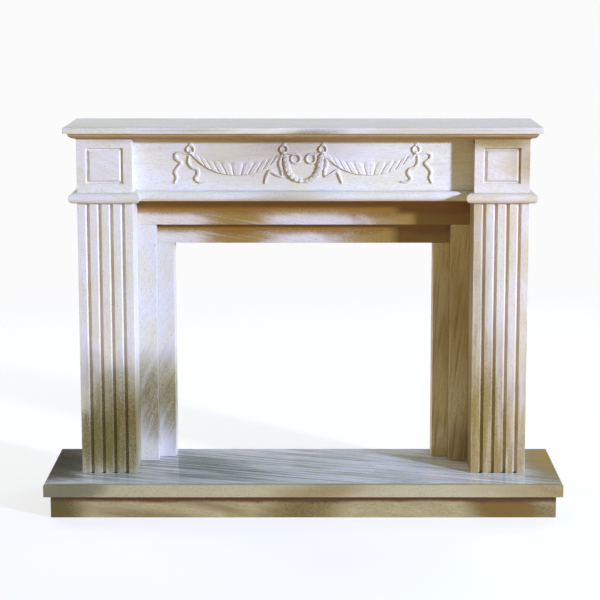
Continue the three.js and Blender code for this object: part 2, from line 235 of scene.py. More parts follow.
@dataclass(frozen=True)
class CreamMarble:
    """Cream marble, honed or polished: pale crystals in thin beds, with ochre clay between them.

    A range says where in a noise a part of the pattern begins and where it is full.

    Attributes:
        pale: The clean crystals, which look faintly lavender in a cool light.
        cream: The warmer crystals of the same bed.
        clay: The pale ochre that stains the streaks.
        ochre: The deep clay of the clouds, and the colour of the painted shade that has none of its
            own.
        speck: Small dark pits and iron spots.
        ior: Refractive index of calcite.
        depth_share: How much of the light sinks into the stone and comes out beside its place.
        depth_reach: How far its red, green and blue go, as shares of the depth.
        depth: How far red light goes inside the stone.
        cloud_size: Length and width of the soft patches of cream.
        cloud_range: Range of these patches.
        ragged_range: Range of the patches that bend the rim of a drift.
        cloud_ragged: How far out and how far in they bend it, as shares of the distance.
        streak_length: How far a broad streak runs before it fades.
        streak_range: Range of the clay in the streaks.
        soft_range: Range in which the streaks are softer and rougher.
        bar_range: Range of the streaks that show through a drift.
        hair_size: Length and width of the finest lines of the bedding. They are drawn about three
            times as wide as the real ones, to show at this distance.
        hair_range: Range of these lines.
        hair_shade: How dark they are.
        crystal_size: Length and width of a crystal. It is drawn about twice as coarse as the real
            one, to show at all.
        crystal_range: Range of the darker crystals.
        crystal_shade: How dark they are.
        gap_range: Range of the crystals that take less of a drift.
        crystal_gap: How much of it they take at the least.
        speck_pitch: Distance between specks.
        speck_size: Width of a speck.
        speck_core: Share of a speck that is evenly dark, inside its soft rim.
        speck_cover: How fully a speck covers the stone.
        drift_range: Share of its reach at which a drift begins to fade and where it is gone.
        tint_full: Cover of a drift at which it tints the crystals fully.
        fine_share: How strong each finer layer of a pattern is beside the one before.
    """

    pale: str = "#eae9eb"
    cream: str = "#e6e3d4"
    clay: str = "#d2cba8"
    ochre: str = "#665c1e"
    speck: str = "#8a806c"
    ior: float = 1.486
    depth_share: float = 0.12
    depth_reach: Point = (1.0, 0.75, 0.5)
    depth: float = 4 * MM
    cloud_size: Place = (190 * MM, 90 * MM)
    cloud_range: Place = (0.38, 0.64)
    ragged_range: Place = (0.3, 0.7)
    cloud_ragged: Place = (0.84, 1.2)
    streak_length: float = 210 * MM
    streak_range: Place = (0.50, 0.74)
    soft_range: Place = (0.4, 0.7)
    bar_range: Place = (0.34, 0.60)
    hair_size: Place = (46 * MM, 5 * MM)
    hair_range: Place = (0.36, 0.66)
    hair_shade: float = 0.16
    crystal_size: Place = (7.5 * MM, 3.4 * MM)
    crystal_range: Place = (0.42, 0.72)
    crystal_shade: float = 0.30
    gap_range: Place = (0.34, 0.66)
    crystal_gap: float = 0.6
    speck_pitch: float = 24 * MM
    speck_size: float = 5 * MM
    speck_core: float = 0.4
    speck_cover: float = 0.55
    drift_range: Place = (0.08, 1.15)
    tint_full: float = 0.7
    fine_share: float = 0.55

    def make(self, name: str, finish: Finish, bed: Bed) -> bpy.types.Material:
        """Makes the material of one stone.

        Args:
            name: The stone's name.
            finish: How its face was worked.
            bed: How it was cut from the bed.

        Returns:
            The new material.
        """
        material = bpy.data.materials.new(f"{finish.value}_{name}")
        material.use_nodes = True
        tree = material.node_tree
        tree.nodes.clear()
        place = add_node(tree, "ShaderNodeTexCoord").outputs["Object"]
        turn = (0, -math.radians(bed.lean), math.radians(bed.skew))
        layers = add_node(
            tree, "ShaderNodeMapping", {"Vector": place, "Location": bed.offset, "Rotation": turn},
            vector_type="TEXTURE",
        ).outputs["Vector"]
        streak_size = (self.streak_length, bed.streak_width)
        patterns = Patterns(
            tree, place, layers,
            clouds=self._noise(tree, layers, self.cloud_size, detail=4, bend=0.4),
            streaks=self._noise(tree, layers, streak_size, detail=5, bend=0.25),
            hairs=self._noise(tree, layers, self.hair_size, detail=2),
            crystals=self._noise(tree, layers, self.crystal_size, detail=2),
        )
        colour = self._stain_and_shade(patterns, bed, self._colour(patterns, bed))
        surface = SURFACES[finish]
        roughest = surface.roughness + surface.roughness_swing
        rough = add_node(
            tree, "ShaderNodeMapRange",
            {"Value": patterns.streaks, **stretch(self.soft_range, (surface.roughness, roughest))},
            interpolation_type="SMOOTHSTEP",
        )
        bump = add_node(
            tree, "ShaderNodeBump",
            {"Height": patterns.crystals, "Strength": 1.0, "Distance": surface.grain_relief},
        )
        shader = add_node(tree, "ShaderNodeBsdfPrincipled", {
            "Base Color": colour,
            "Roughness": rough.outputs["Result"],
            "Normal": bump.outputs["Normal"],
            "IOR": self.ior,
            "Subsurface Weight": self.depth_share,
            "Subsurface Radius": self.depth_reach,
            "Subsurface Scale": self.depth,
        })
        add_node(tree, "ShaderNodeOutputMaterial", {"Surface": shader.outputs["BSDF"]})
        return material

    def _noise(
        self, tree: Tree, layers: Socket, size: Place, detail: float, bend: float = 0.0,
    ) -> Socket:
        """Draws one pattern of the stone at its real size.

        Args:
            tree: The material's nodes.
            layers: Coordinates with their first axis along the bedding, in metres.
            size: Length of one patch, and its width and depth.
            detail: Octaves of finer noise.
            bend: How much the patches curl.

        Returns:
            The pattern, about 0 to 1.
        """
        length, width = size
        cells = add_node(
            tree, "ShaderNodeVectorMath", {0: layers, 1: (1 / length, 1 / width, 1 / width)},
            operation="MULTIPLY",
        )
        noise = add_node(tree, "ShaderNodeTexNoise", {
            "Vector": cells.outputs["Vector"],
            "Scale": 1.0,
            "Detail": detail,
            "Roughness": self.fine_share,
            "Distortion": bend,
        })
        return noise.outputs["Fac"]

    @staticmethod
    def _lay(
        tree: Tree,
        under: Socket | Colour,
        over: str,
        pattern: Socket,
        given: Place,
        cover: Place,
        how: str = "MIX",
    ) -> Socket:
        """Lays a colour over the stone's colour so far, where a pattern says so.

        Args:
            tree: The material's nodes.
            under: The colour so far.
            over: The colour that is laid over it.
            pattern: The pattern.
            given: The range of the pattern that is read.
            cover: How fully the upper colour covers at the start and at the end of that range.
            how: Blender's name for the way they mix.

        Returns:
            The mixed colour.
        """
        share = add_node(
            tree, "ShaderNodeMapRange", {"Value": pattern, **stretch(given, cover)},
            interpolation_type="SMOOTHSTEP",
        )
        mixed = add_node(
            tree, "ShaderNodeMix", {0: share.outputs["Result"], 6: under, 7: to_linear(over)},
            data_type="RGBA", blend_type=how,
        )
        return mixed.outputs[2]

    def _colour(self, patterns: Patterns, bed: Bed) -> Socket:
        """Lays the cream, the clay streaks, the hairlines, the crystals and the specks in turn.

        Args:
            patterns: The stone's patterns.
            bed: How it was cut.

        Returns:
            The stone's colour without its drifts.
        """
        tree = patterns.tree
        colour = to_linear(self.pale)
        for over, pattern, given, cover, how in (
            (self.cream, patterns.clouds, self.cloud_range, 1, "MIX"),
            (self.clay, patterns.streaks, self.streak_range, bed.warmth, "MIX"),
            (self.clay, patterns.hairs, self.hair_range, self.hair_shade, "MULTIPLY"),
            (self.clay, patterns.crystals, self.crystal_range, self.crystal_shade, "MULTIPLY"),
        ):
            colour = self._lay(tree, colour, over, pattern, given, (0, cover), how)
        cells = add_node(
            tree, "ShaderNodeTexVoronoi",
            {"Vector": patterns.layers, "Scale": 1 / self.speck_pitch, "Randomness": 1.0},
        )
        reach = self.speck_size / self.speck_pitch / 2
        return self._lay(
            tree, colour, self.speck, cells.outputs["Distance"],
            (reach * self.speck_core, reach), (self.speck_cover, 0),
        )

    def _stain_and_shade(self, patterns: Patterns, bed: Bed, colour: Socket) -> Socket:
        """Lays the drifts over a stone, stains and painted shade alike: each first tints the
        crystals and then covers them.

        Args:
            patterns: The stone's patterns.
            bed: How it was cut, with its drifts and its painted shade.
            colour: Its colour so far.

        Returns:
            The stained and shaded colour.
        """
        if not bed.drifts:
            return colour
        tree = patterns.tree
        # The rim of a drift follows the soft patches, and some crystals take less of it.
        ragged, grain = (
            add_node(
                tree, "ShaderNodeMapRange", {"Value": pattern, **stretch(given, wanted)},
                interpolation_type="SMOOTHSTEP",
            ).outputs["Result"]
            for pattern, given, wanted in (
                (patterns.clouds, self.ragged_range, self.cloud_ragged),
                (patterns.crystals, self.gap_range, (1.0, self.crystal_gap)),
            )
        )
        for marking in bed.drifts:
            turn = (0, -math.radians(marking.turned), 0)
            local = add_node(
                tree, "ShaderNodeMapping",
                {
                    "Vector": patterns.place,
                    "Location": marking.centre,
                    "Rotation": turn,
                    "Scale": marking.reach,
                },
                vector_type="TEXTURE",
            )
            away = add_node(
                tree, "ShaderNodeVectorMath", {0: local.outputs["Vector"]}, operation="LENGTH",
            )
            bent = add_node(
                tree, "ShaderNodeMath", {0: away.outputs["Value"], 1: ragged}, operation="MULTIPLY",
            )
            cover, bars = (
                add_node(
                    tree, "ShaderNodeMapRange", {"Value": pattern, **stretch(given, wanted)},
                    interpolation_type="SMOOTHSTEP",
                ).outputs["Result"]
                for pattern, given, wanted in (
                    (bent.outputs["Value"], self.drift_range, (marking.strength, 0)),
                    (patterns.streaks, self.bar_range, (1 - marking.barred, 1)),
                )
            )
            for part in (grain, bars):
                cover = add_node(
                    tree, "ShaderNodeMath", {0: cover, 1: part}, operation="MULTIPLY",
                ).outputs["Value"]
            colour = self._lay(
                tree, colour, self.clay, cover, (0.0, self.tint_full), (0, 1), "MULTIPLY",
            )
            laid_colour = to_linear(marking.colour or self.ochre)
            colour = add_node(
                tree, "ShaderNodeMix", {0: cover, 6: colour, 7: laid_colour}, data_type="RGBA",
            ).outputs[2]
        return colour


# The mantel is cut from the palest bed: white with a breath of lavender, and cream in soft patches.
PALE_MARBLE = CreamMarble()
# The frieze has a faint ochre tint over its middle, strongest under the moulding, so its ochre is
# light.
CLOUDED_MARBLE = CreamMarble(ochre="#8c7440")
# The left-hand jambs look a shade creamier and duller than the uprights.
MILKY_MARBLE = CreamMarble(pale="#d9d8db", cream="#d9d5c6")
# The right-hand jambs and the moulding under the shelf look tan, like pale wood, with fine
# streaks. Both lie in shadow, and the tan is partly their stone and partly painted shade.
TAWNY_MARBLE = CreamMarble(
    pale="#e4d8b4", cream="#d2bf8c", clay="#a8864a", ochre="#846a2c", speck="#6a5b38",
)
# The lintels look as pale as the jambs where no drift lies, and golden brown where one does,
# which is partly painted shadow.
OCHRE_MARBLE = CreamMarble(
    pale="#dcdadc", cream="#dad4c6", clay="#c8b48a", ochre="#93742c", speck="#6a5b38",
)
# The right-hand upright looks warmer than the left-hand one, with straw-coloured stains.
WARM_MARBLE = CreamMarble(
    pale="#e4dfd8", cream="#ddd1b6", clay="#d5c394", ochre="#8f7c40", speck="#84785a",
)
# The hearth slab looks cool and silvery, with long streaks of grey clay.
GREY_MARBLE = CreamMarble(
    pale="#f0f3fa", cream="#dadfe2", clay="#a8a68c", ochre="#7a6528", speck="#6a6552",
    streak_length=340 * MM, streak_range=(0.40, 0.74),
)
# The plinth under it looks olive brown and dull.
BROWN_MARBLE = CreamMarble(
    pale="#beb186", cream="#a89c6e", clay="#9c8a5c", ochre="#6e5520", speck="#625a3e",
)


# Outlines


def arc(centre: Place, radii: Place, degrees: Place, steps: int) -> list[Place]:
    """Gives points on a turn round a centre, while the radius changes evenly.

    Args:
        centre: The centre.
        radii: Radius at the start and at the end.
        degrees: Angle at the start and at the end.
        steps: Number of steps from start to end.

    Returns:
        The points, one more than the steps.
    """
    points = []
    for step in range(steps + 1):
        run = step / steps
        angle = math.radians(degrees[0] + (degrees[1] - degrees[0]) * run)
        radius = radii[0] + (radii[1] - radii[0]) * run
        points.append((centre[0] + radius * math.cos(angle), centre[1] + radius * math.sin(angle)))
    return points


def ease(outline: Sequence[Place], radius: float, closed: bool = True) -> list[Place]:
    """Rounds the sharp corners of an outline, as a mason eases an arris.

    Args:
        outline: The points in order.
        radius: Length that each rounding takes from both edges that meet there.
        closed: Whether the last point joins the first.

    Returns:
        The eased outline.
    """
    sharp = math.cos(math.radians(CURVE_TURN))
    points = []
    for number, corner in enumerate(outline):
        if not closed and number in (0, len(outline) - 1):
            points.append(corner)
            continue
        before = np.subtract(outline[number - 1], corner)
        after = np.subtract(outline[(number + 1) % len(outline)], corner)
        before_length, after_length = np.linalg.norm(before), np.linalg.norm(after)
        if -before @ after / (before_length * after_length) > sharp:
            points.append(corner)
            continue
        reach = min(radius, EASING_SHARE * before_length, EASING_SHARE * after_length)
        start = np.add(corner, before / before_length * reach)
        end = np.add(corner, after / after_length * reach)
        for run in np.linspace(0, 1, CORNER_STEPS + 1):
            bent = (1 - run) ** 2 * start + 2 * run * (1 - run) * np.array(corner) + run ** 2 * end
            points.append((float(bent[0]), float(bent[1])))
    return points


def draw_in(outline: Sequence[Place], distance: float) -> list[Place]:
    """Moves a closed anticlockwise outline inwards by a small distance.

    Args:
        outline: The points in order.
        distance: How far it moves.

    Returns:
        The smaller outline, with as many points.
    """
    points = np.array(outline)
    edges = np.roll(points, -1, axis=0) - points
    inward = np.stack([-edges[:, 1], edges[:, 0]], axis=1) / np.linalg.norm(edges, axis=1)[:, None]
    before = np.roll(inward, 1, axis=0)
    bisector = (inward + before) / (1 + (inward * before).sum(1))[:, None]
    return [(float(x), float(y)) for x, y in points + bisector * distance]


# Stones


class Stone:
    """Points and faces of one worked stone, gathered ring by ring."""

    def __init__(self, node: str) -> None:
        """Starts a stone with no faces.

        Args:
            node: The node that it stands for, which also names it.
        """
        self.node = node
        self.points: list[Point] = []
        self.faces: list[tuple[int, ...]] = []

    def ring(self, points: Sequence[Point]) -> list[int]:
        """Adds points.

        Args:
            points: The points in order.

        Returns:
            Their numbers.
        """
        start = len(self.points)
        self.points.extend(points)
        return list(range(start, len(self.points)))

    def bridge(
        self, first: Sequence[int], second: Sequence[int], left_open: int | None = None,
    ) -> None:
        """Joins two rings of the same count with a band of faces.

        Args:
            first: Point numbers of one ring.
            second: Point numbers of the other.
            left_open: The side that gets no face, if any.
        """
        count = len(first)
        for side in range(count):
            if side != left_open:
                after = (side + 1) % count
                self.faces.append((first[side], first[after], second[after], second[side]))

    def loft(self, rings: Sequence[Sequence[Point]]) -> None:
        """Joins a stack of rings and closes both of its ends.

        Args:
            rings: The rings in order, each with the same number of points.
        """
        numbers = [self.ring(points) for points in rings]
        for first, second in zip(numbers, numbers[1:]):
            self.bridge(first, second)
        self.faces.append(tuple(numbers[0]))
        self.faces.append(tuple(numbers[-1]))

    def dress(
        self, finish: Finish, bed: Bed, marble: CreamMarble = PALE_MARBLE,
    ) -> bpy.types.Object:
        """Turns the stone into an object that stands for its node and rides with the mantel.

        Args:
            finish: How its faces were worked.
            bed: How it was cut.
            marble: The bed's marble.

        Returns:
            The finished piece.
        """
        name = f"{self.node}_stone"
        mesh = bpy.data.meshes.new(name)
        mesh.from_pydata(self.points, [], self.faces)
        shell = bmesh.new()
        shell.from_mesh(mesh)
        bmesh.ops.recalc_face_normals(shell, faces=shell.faces)
        shell.to_mesh(mesh)
        shell.free()
        mesh.shade_smooth()
        mesh.set_sharp_from_angle(angle=math.radians(SHARP_EDGE))
        piece = bpy.data.objects.new(name, mesh)
        bpy.context.scene.collection.objects.link(piece)
        flat = piece.modifiers.new("flat_faces_stay_flat", "WEIGHTED_NORMAL")
        flat.keep_sharp = True
        mesh.materials.append(marble.make(name, finish, bed))
        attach(piece, BODY)
        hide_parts(self.node)
        return piece


@dataclass(frozen=True)
class Block:
    """The space that a node takes up.

    Attributes:
        low: Its lowest corner.
        high: Its highest corner.
    """

    low: Point
    high: Point

    @classmethod
    def of(cls, node: str) -> "Block":
        """Reads the space of a node from the frame."""
        low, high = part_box(node)
        return cls(tuple(low), tuple(high))

    @property
    def centre_x(self) -> float:
        """The middle of its width."""
        return (self.low[0] + self.high[0]) / 2


def squared(node: str, arris: float) -> Stone:
    """Cuts a plain squared stone with eased arrises.

    Args:
        node: The node that it stands for.
        arris: How far each arris is eased.

    Returns:
        The stone.
    """
    block = Block.of(node)
    (x_low, y_low, z_low), (x_high, y_high, z_high) = block.low, block.high
    plan = ease([(x_low, y_low), (x_high, y_low), (x_high, y_high), (x_low, y_high)], arris)
    stone = Stone(node)
    stone.loft([
        [(x, y, z) for x, y in draw_in(plan, inset)]
        for inset, z in end_arris(z_low, z_high, arris)
    ])
    return stone


def end_arris(z_low: float, z_high: float, arris: float, steps: int = 3) -> list[Place]:
    """Gives the levels at which a stone's outline draws in towards its two ends.

    Args:
        z_low: Height of its lower end.
        z_high: Height of its upper end.
        arris: How far its end arrises are eased.
        steps: Steps in each easing.

    Returns:
        Pairs of inset and height, from the bottom up.
    """
    turns = [math.radians(90 * step / steps) for step in range(steps + 1)]
    lower = [(arris * (1 - math.sin(turn)), z_low + arris * (1 - math.cos(turn))) for turn in turns]
    upper = [(inset, z_low + z_high - z) for inset, z in reversed(lower)]
    return lower + upper


def moulded(node: str, core: Block, wall: float, profile: Sequence[Place], corner: float) -> Stone:
    """Works one moulding along the front and both ends of a slab, flat at the wall.

    Args:
        node: The node that it stands for.
        core: The faces that the moulding's outset is measured from.
        wall: Distance to the wall, where the slab is sawn flat.
        profile: Pairs of outset and height, from the bottom up.
        corner: Radius of the two upright corners.

    Returns:
        The stone.
    """
    rings = []
    for outset, z in profile:
        left, right = core.low[0] - outset, core.high[0] + outset
        front = core.low[1] - outset + corner
        plan = [
            (left, wall),
            *arc((left + corner, front), (corner, corner), (180, 270), CORNER_STEPS),
            *arc((right - corner, front), (corner, corner), (270, 360), CORNER_STEPS),
            (right, wall),
        ]
        rings.append([(x, y, z) for x, y in plan])
    stone = Stone(node)
    stone.loft(rings)
    return stone


def half_round(edge: float, bottom: float, top: float, steps: int = 24) -> list[Place]:
    """Gives a half-round nose between two heights.

    Args:
        edge: Outset of its bottom and top edges.
        bottom: Height of its bottom edge.
        top: Height of its top edge.
        steps: Steps round the nose.

    Returns:
        Pairs of outset and height, from the bottom up.
    """
    middle, radius = (bottom + top) / 2, (top - bottom) / 2
    return arc((edge, middle), (radius, radius), (-90, 90), steps)


def eased_edge(bottom: float, top: float, arris: float, radius: float) -> list[Place]:
    """Gives a slab's edge: a small easing below and a rounded edge above.

    Args:
        bottom: Height of its underside.
        top: Height of its top.
        arris: Radius of the lower easing.
        radius: Radius of the upper edge.

    Returns:
        Pairs of outset and height, from the bottom up.
    """
    lower = arc((-arris, bottom + arris), (arris, arris), (-90, 0), CORNER_STEPS)
    upper = arc((-radius, top - radius), (radius, radius), (0, 90), EDGE_STEPS)
    return lower + upper


# Hearth


@dataclass
class Hearth:
    """The raised hearth: a polished slab that oversails a plinth.

    Attributes:
        edge_radius: Rounding of the slab's upper edge.
        arris: Easing of its lower edge and of the plinth.
        corner: Rounding of the slab's upright corners.
    """

    edge_radius: float = 5 * MM
    arris: float = 1.5 * MM
    corner: float = 3 * MM

    def build(self) -> Iterator[bpy.types.Object]:
        """Builds the plinth and the slab.

        Yields:
            Each finished piece.
        """
        yield squared("hearth_plinth", self.arris).dress(Finish.HONED, Bed(
            lean=-7, offset=(0.3, 0.1, 0.7), warmth=0.75, streak_width=22 * MM,
            # Brown clouds at both ends and the middle, and a dark line under the slab that is
            # painted shadow of its overhang.
            drifts=(
                DriftOrShade((-0.82, -0.19, 0.035), (0.15, 0.3, 0.15), 1.2, 25, colour="#5c5222"),
                DriftOrShade((-0.45, -0.19, 0.0), (0.30, 0.3, 0.03), 0.4, -7),
                DriftOrShade((-0.30, -0.19, 0.04), (0.22, 0.3, 0.02), 0.3, -12),
                DriftOrShade((0.0, -0.19, 0.03), (0.20, 0.3, 0.12), 0.6, 30, colour="#6e5a1e"),
                DriftOrShade((0.64, -0.19, 0.03), (0.20, 0.3, 0.12), 1.0, -35, colour="#7a5a18"),
                DriftOrShade((0.80, -0.19, 0.02), (0.10, 0.3, 0.06), 0.4),
                # Painted shadow under the slab's overhang.
                DriftOrShade((0.0, -0.19, 0.070), (3.0, 0.3, 0.022), 1.7, colour="#57300a"),
            ),
        ), BROWN_MARBLE)
        core = Block.of("hearth_slab")
        profile = eased_edge(core.low[2], core.high[2], self.arris, self.edge_radius)
        slab = moulded("hearth_slab", core, core.high[1], profile, self.corner)
        yield slab.dress(Finish.POLISHED, Bed(
            lean=0.5, skew=-16, offset=(0.9, 0.4, 0.2), warmth=0.8, streak_width=15 * MM,
            # A brown left end that is painted shadow of the left upright, grey streaks on the left
            # half, a straw-coloured front edge with three darker lengths, and an ochre right end.
            drifts=(
                # Painted shadow of the left upright over the slab's left end.
                DriftOrShade((-0.86, 0.06, 0.11), (0.21, 0.30, 0.08), 1.8, barred=0.1, colour="#574000"),
                DriftOrShade((-0.38, 0.00, 0.11), (0.72, 0.26, 0.06), 0.6, barred=0.7, colour="#66705f"),
                DriftOrShade((0.0, -0.215, 0.09), (3.0, 0.03, 0.2), 1.25, colour="#bdb48c"),
                DriftOrShade((-0.76, -0.215, 0.09), (0.20, 0.03, 0.06), 0.95, 6, colour="#76785a"),
                DriftOrShade((0.06, -0.215, 0.09), (0.22, 0.03, 0.05), 0.5, 6, colour="#9c7c34"),
                DriftOrShade((0.72, -0.215, 0.09), (0.24, 0.03, 0.06), 0.35, -4, colour="#a07c2c"),
                DriftOrShade((0.88, 0.12, 0.11), (0.25, 0.46, 0.10), 1.5, barred=0.15, colour="#a98a40"),
            ),
        ), GREY_MARBLE)


# Uprights


class Hand(Enum):
    """Which side of the fireplace an upright stands on."""

    LEFT = "left"
    RIGHT = "right"


@dataclass
class Upright:
    """A fluted pilaster with the capital and the panelled block that stand on it.

    Attributes:
        hand: Its side of the fireplace.
        wall: Thickness of the front and of the two returns round the hollow back.
        flutes: Number of flutes.
        flute_pitch: Distance between them.
        flute_width: Width of a flute.
        flute_depth: Depth of a flute.
        flute_lip: Straight part of a flute's side, behind its eased arris.
        arris: Easing of the upright arrises.
        joint: Easing of the arrises at the joints.
        nose: How far the capital stands out.
        panel: Width and height of the sunk panel.
        panel_profile: Pairs of distance in from the panel's border and depth behind the face.
        panel_arris: Easing of the panel's edges.
    """

    hand: Hand
    wall: float = 32 * MM
    flutes: int = 4
    flute_pitch: float = 37 * MM
    flute_width: float = 14 * MM
    flute_depth: float = 8 * MM
    flute_lip: float = 1.6 * MM
    arris: float = 1.2 * MM
    joint: float = 0.8 * MM
    nose: float = 25.5 * MM
    panel: Place = (118 * MM, 114 * MM)
    panel_profile: tuple[Place, ...] = (
        (-5 * MM, 0.0), (0.0, 0.0), (3.5 * MM, 8 * MM),
        (5 * MM, 8 * MM), (13 * MM, 1 * MM), (20 * MM, 1 * MM),
    )
    panel_arris: float = 0.9 * MM

    def _plan(self, block: Block, front: Sequence[Place]) -> list[Place]:
        """Gives the outline of a stone with a hollow back, anticlockwise from its front left.

        Args:
            block: The stone's space.
            front: Points along its front, from left to right, between the two corners.

        Returns:
            The eased outline.
        """
        (left, y_front, _), (right, y_wall, _) = block.low, block.high
        return ease([
            (left, y_front),
            *front,
            (right, y_front),
            (right, y_wall),
            (right - self.wall, y_wall),
            (right - self.wall, y_front + self.wall),
            (left + self.wall, y_front + self.wall),
            (left + self.wall, y_wall),
            (left, y_wall),
        ], self.arris)

    def _flute_line(self, block: Block) -> list[Place]:
        """Gives the outline of all the flutes.

        Args:
            block: The pilaster's space.

        Returns:
            The points along the front, from left to right.
        """
        half, y = self.flute_width / 2, block.low[1]
        hollow = self.flute_depth - self.flute_lip
        points = []
        for flute in range(self.flutes):
            x = block.centre_x + (flute - (self.flutes - 1) / 2) * self.flute_pitch
            points.append((x - half, y))
            for across, down in arc((0, 0), (1, 1), (180, 0), HOLLOW_STEPS):
                points.append((x + half * across, y + self.flute_lip + hollow * down))
            points.append((x + half, y))
        return points

    def _pilaster(self) -> Stone:
        """Cuts the fluted pilaster.

        Returns:
            The stone.
        """
        block = Block.of(f"{self.hand.value}_pilaster")
        plan = self._plan(block, self._flute_line(block))
        stone = Stone(f"{self.hand.value}_pilaster")
        stone.loft([
            [(x, y, z) for x, y in draw_in(plan, inset)]
            for inset, z in end_arris(block.low[2], block.high[2], self.joint, steps=1)
        ])
        return stone

    def _capital(self) -> Stone:
        """Cuts the half-round capital.

        Returns:
            The stone.
        """
        node = f"{self.hand.value}_capital"
        outer, shaft = Block.of(node), Block.of(f"{self.hand.value}_pilaster")
        bottom, top = outer.low[2], outer.high[2]
        profile = half_round(self.nose - (top - bottom) / 2, bottom, top)
        return moulded(node, shaft, outer.high[1], profile, self.arris)

    def _panelled_block(self) -> Stone:
        """Cuts the corner block, with a raised panel inside a sunk border on its front.

        Returns:
            The stone.
        """
        node = f"{self.hand.value}_corner_block"
        block = Block.of(node)
        plan = self._plan(block, [])
        beyond = plan[1:] + plan[:1]
        front = min(range(len(plan)), key=lambda side: plan[side][1] + beyond[side][1])
        stone = Stone(node)
        levels = [
            stone.ring([(x, y, z) for x, y in draw_in(plan, inset)])
            for inset, z in end_arris(block.low[2], block.high[2], self.joint, steps=1)
        ]
        for number, (lower, upper) in enumerate(zip(levels, levels[1:])):
            stone.bridge(lower, upper, front if number == 1 else None)
        stone.faces.append(tuple(levels[0]))
        stone.faces.append(tuple(levels[-1]))
        beside = (front + 1) % len(plan)
        last = [levels[1][front], levels[1][beside], levels[2][beside], levels[2][front]]
        middle = (block.low[2] + block.high[2]) / 2
        for inward, depth in ease(self.panel_profile, self.panel_arris, closed=False):
            half_width, half_height = self.panel[0] / 2 - inward, self.panel[1] / 2 - inward
            y = block.low[1] + depth
            ring = stone.ring([
                (block.centre_x + across * half_width, y, middle + up * half_height)
                for across, up in ((-1, -1), (1, -1), (1, 1), (-1, 1))
            ])
            stone.bridge(last, ring)
            last = ring
        stone.faces.append(tuple(last))
        return stone

    def build(self) -> Iterator[bpy.types.Object]:
        """Builds the pilaster, the capital and the corner block.

        Yields:
            Each finished piece.
        """
        if self.hand is Hand.LEFT:
            marble, lean = PALE_MARBLE, 91
            offsets = ((0.2, 0.5, 0.1), (0.4, 0.2, 0.9), (0.6, 0.8, 0.2))
            # Olive brown over the lower third, higher towards the opening and redder there.
            shaft_drifts = (
                DriftOrShade((-0.565, -0.075, 0.26), (0.19, 0.4, 0.28), 1.05, 24, barred=0.2),
                DriftOrShade((-0.68, -0.075, 0.20), (0.16, 0.4, 0.17), 0.85, 20, barred=0.2),
                DriftOrShade((-0.56, -0.075, 0.30), (0.08, 0.4, 0.09), 0.45, 28, colour="#6e4c1c"),
            )
            # A faint band along the block's top, under the moulding: painted shade.
            block_drifts_and_shade = (DriftOrShade((-0.60, -0.075, 1.20), (0.13, 0.4, 0.03), 0.35),)
        else:
            marble, lean = WARM_MARBLE, 89
            offsets = ((0.8, 0.9, 0.5), (0.1, 0.6, 0.3), (0.3, 0.7, 0.8))
            # Straw colour over the lower half, most of it beside the opening.
            shaft_drifts = (
                DriftOrShade((0.51, -0.075, 0.24), (0.17, 0.4, 0.60), 0.8, 4, barred=0.5),
                DriftOrShade((0.60, -0.075, 0.18), (0.14, 0.4, 0.44), 0.82, 8, barred=0.5),
                DriftOrShade((0.71, -0.075, 0.20), (0.10, 0.4, 0.42), 0.42, barred=0.5),
                DriftOrShade((0.54, -0.075, 0.85), (0.06, 0.4, 0.45), 0.4, barred=0.4),
            )
            block_drifts_and_shade = (
                DriftOrShade((0.722, -0.075, 1.115), (0.11, 0.4, 0.09), 0.45, -20),
                # Painted shadow of the shelf along the block's top.
                DriftOrShade((0.60, -0.075, 1.205), (0.20, 0.4, 0.055), 1.15),
            )
        shaft, cap, block = offsets
        for stone, bed in (
            (self._pilaster(), Bed(lean, shaft, 0.3, drifts=shaft_drifts)),
            (self._capital(), Bed(1, cap, 0.2)),
            (self._panelled_block(), Bed(-24, block, 0.3, drifts=block_drifts_and_shade)),
        ):
            yield stone.dress(Finish.HONED, bed, marble)


# Carving


def smooth_path(places: Sequence[Place], spacing: float = 0.4 * MM) -> np.ndarray:
    """Runs one smooth curve through a few places.

    Args:
        places: The places in order.
        spacing: Distance between the points that are given back.

    Returns:
        Points along the curve, evenly spaced, one row each.
    """
    given = np.array(places)
    given = np.vstack([2 * given[0] - given[1], given, 2 * given[-1] - given[-2]])
    # Knots at the square roots of the distances keep the curve from looping between places.
    knots = np.concatenate([[0], np.cumsum(np.linalg.norm(np.diff(given, axis=0), axis=1) ** 0.5)])
    fine = []
    for first in range(len(given) - 3):
        p, k = given[first:first + 4], knots[first:first + 4]
        t = np.linspace(k[1], k[2], PATH_STEPS, endpoint=first == len(given) - 4)[:, None]
        lines = [
            ((k[i + 1] - t) * p[i] + (t - k[i]) * p[i + 1]) / (k[i + 1] - k[i])
            for i in range(3)
        ]
        bends = [
            ((k[i + 2] - t) * lines[i] + (t - k[i]) * lines[i + 1]) / (k[i + 2] - k[i])
            for i in range(2)
        ]
        fine.append(((k[2] - t) * bends[0] + (t - k[1]) * bends[1]) / (k[2] - k[1]))
    curve = np.vstack(fine)
    run = np.concatenate([[0], np.cumsum(np.linalg.norm(np.diff(curve, axis=0), axis=1))])
    even = np.linspace(0, run[-1], max(2, round(run[-1] / spacing) + 1))
    return np.stack([np.interp(even, run, curve[:, axis]) for axis in (0, 1)], axis=1)


def always(value: float) -> Curve:
    """Gives a curve that has one value all the way."""
    return lambda run: np.full_like(run, value)


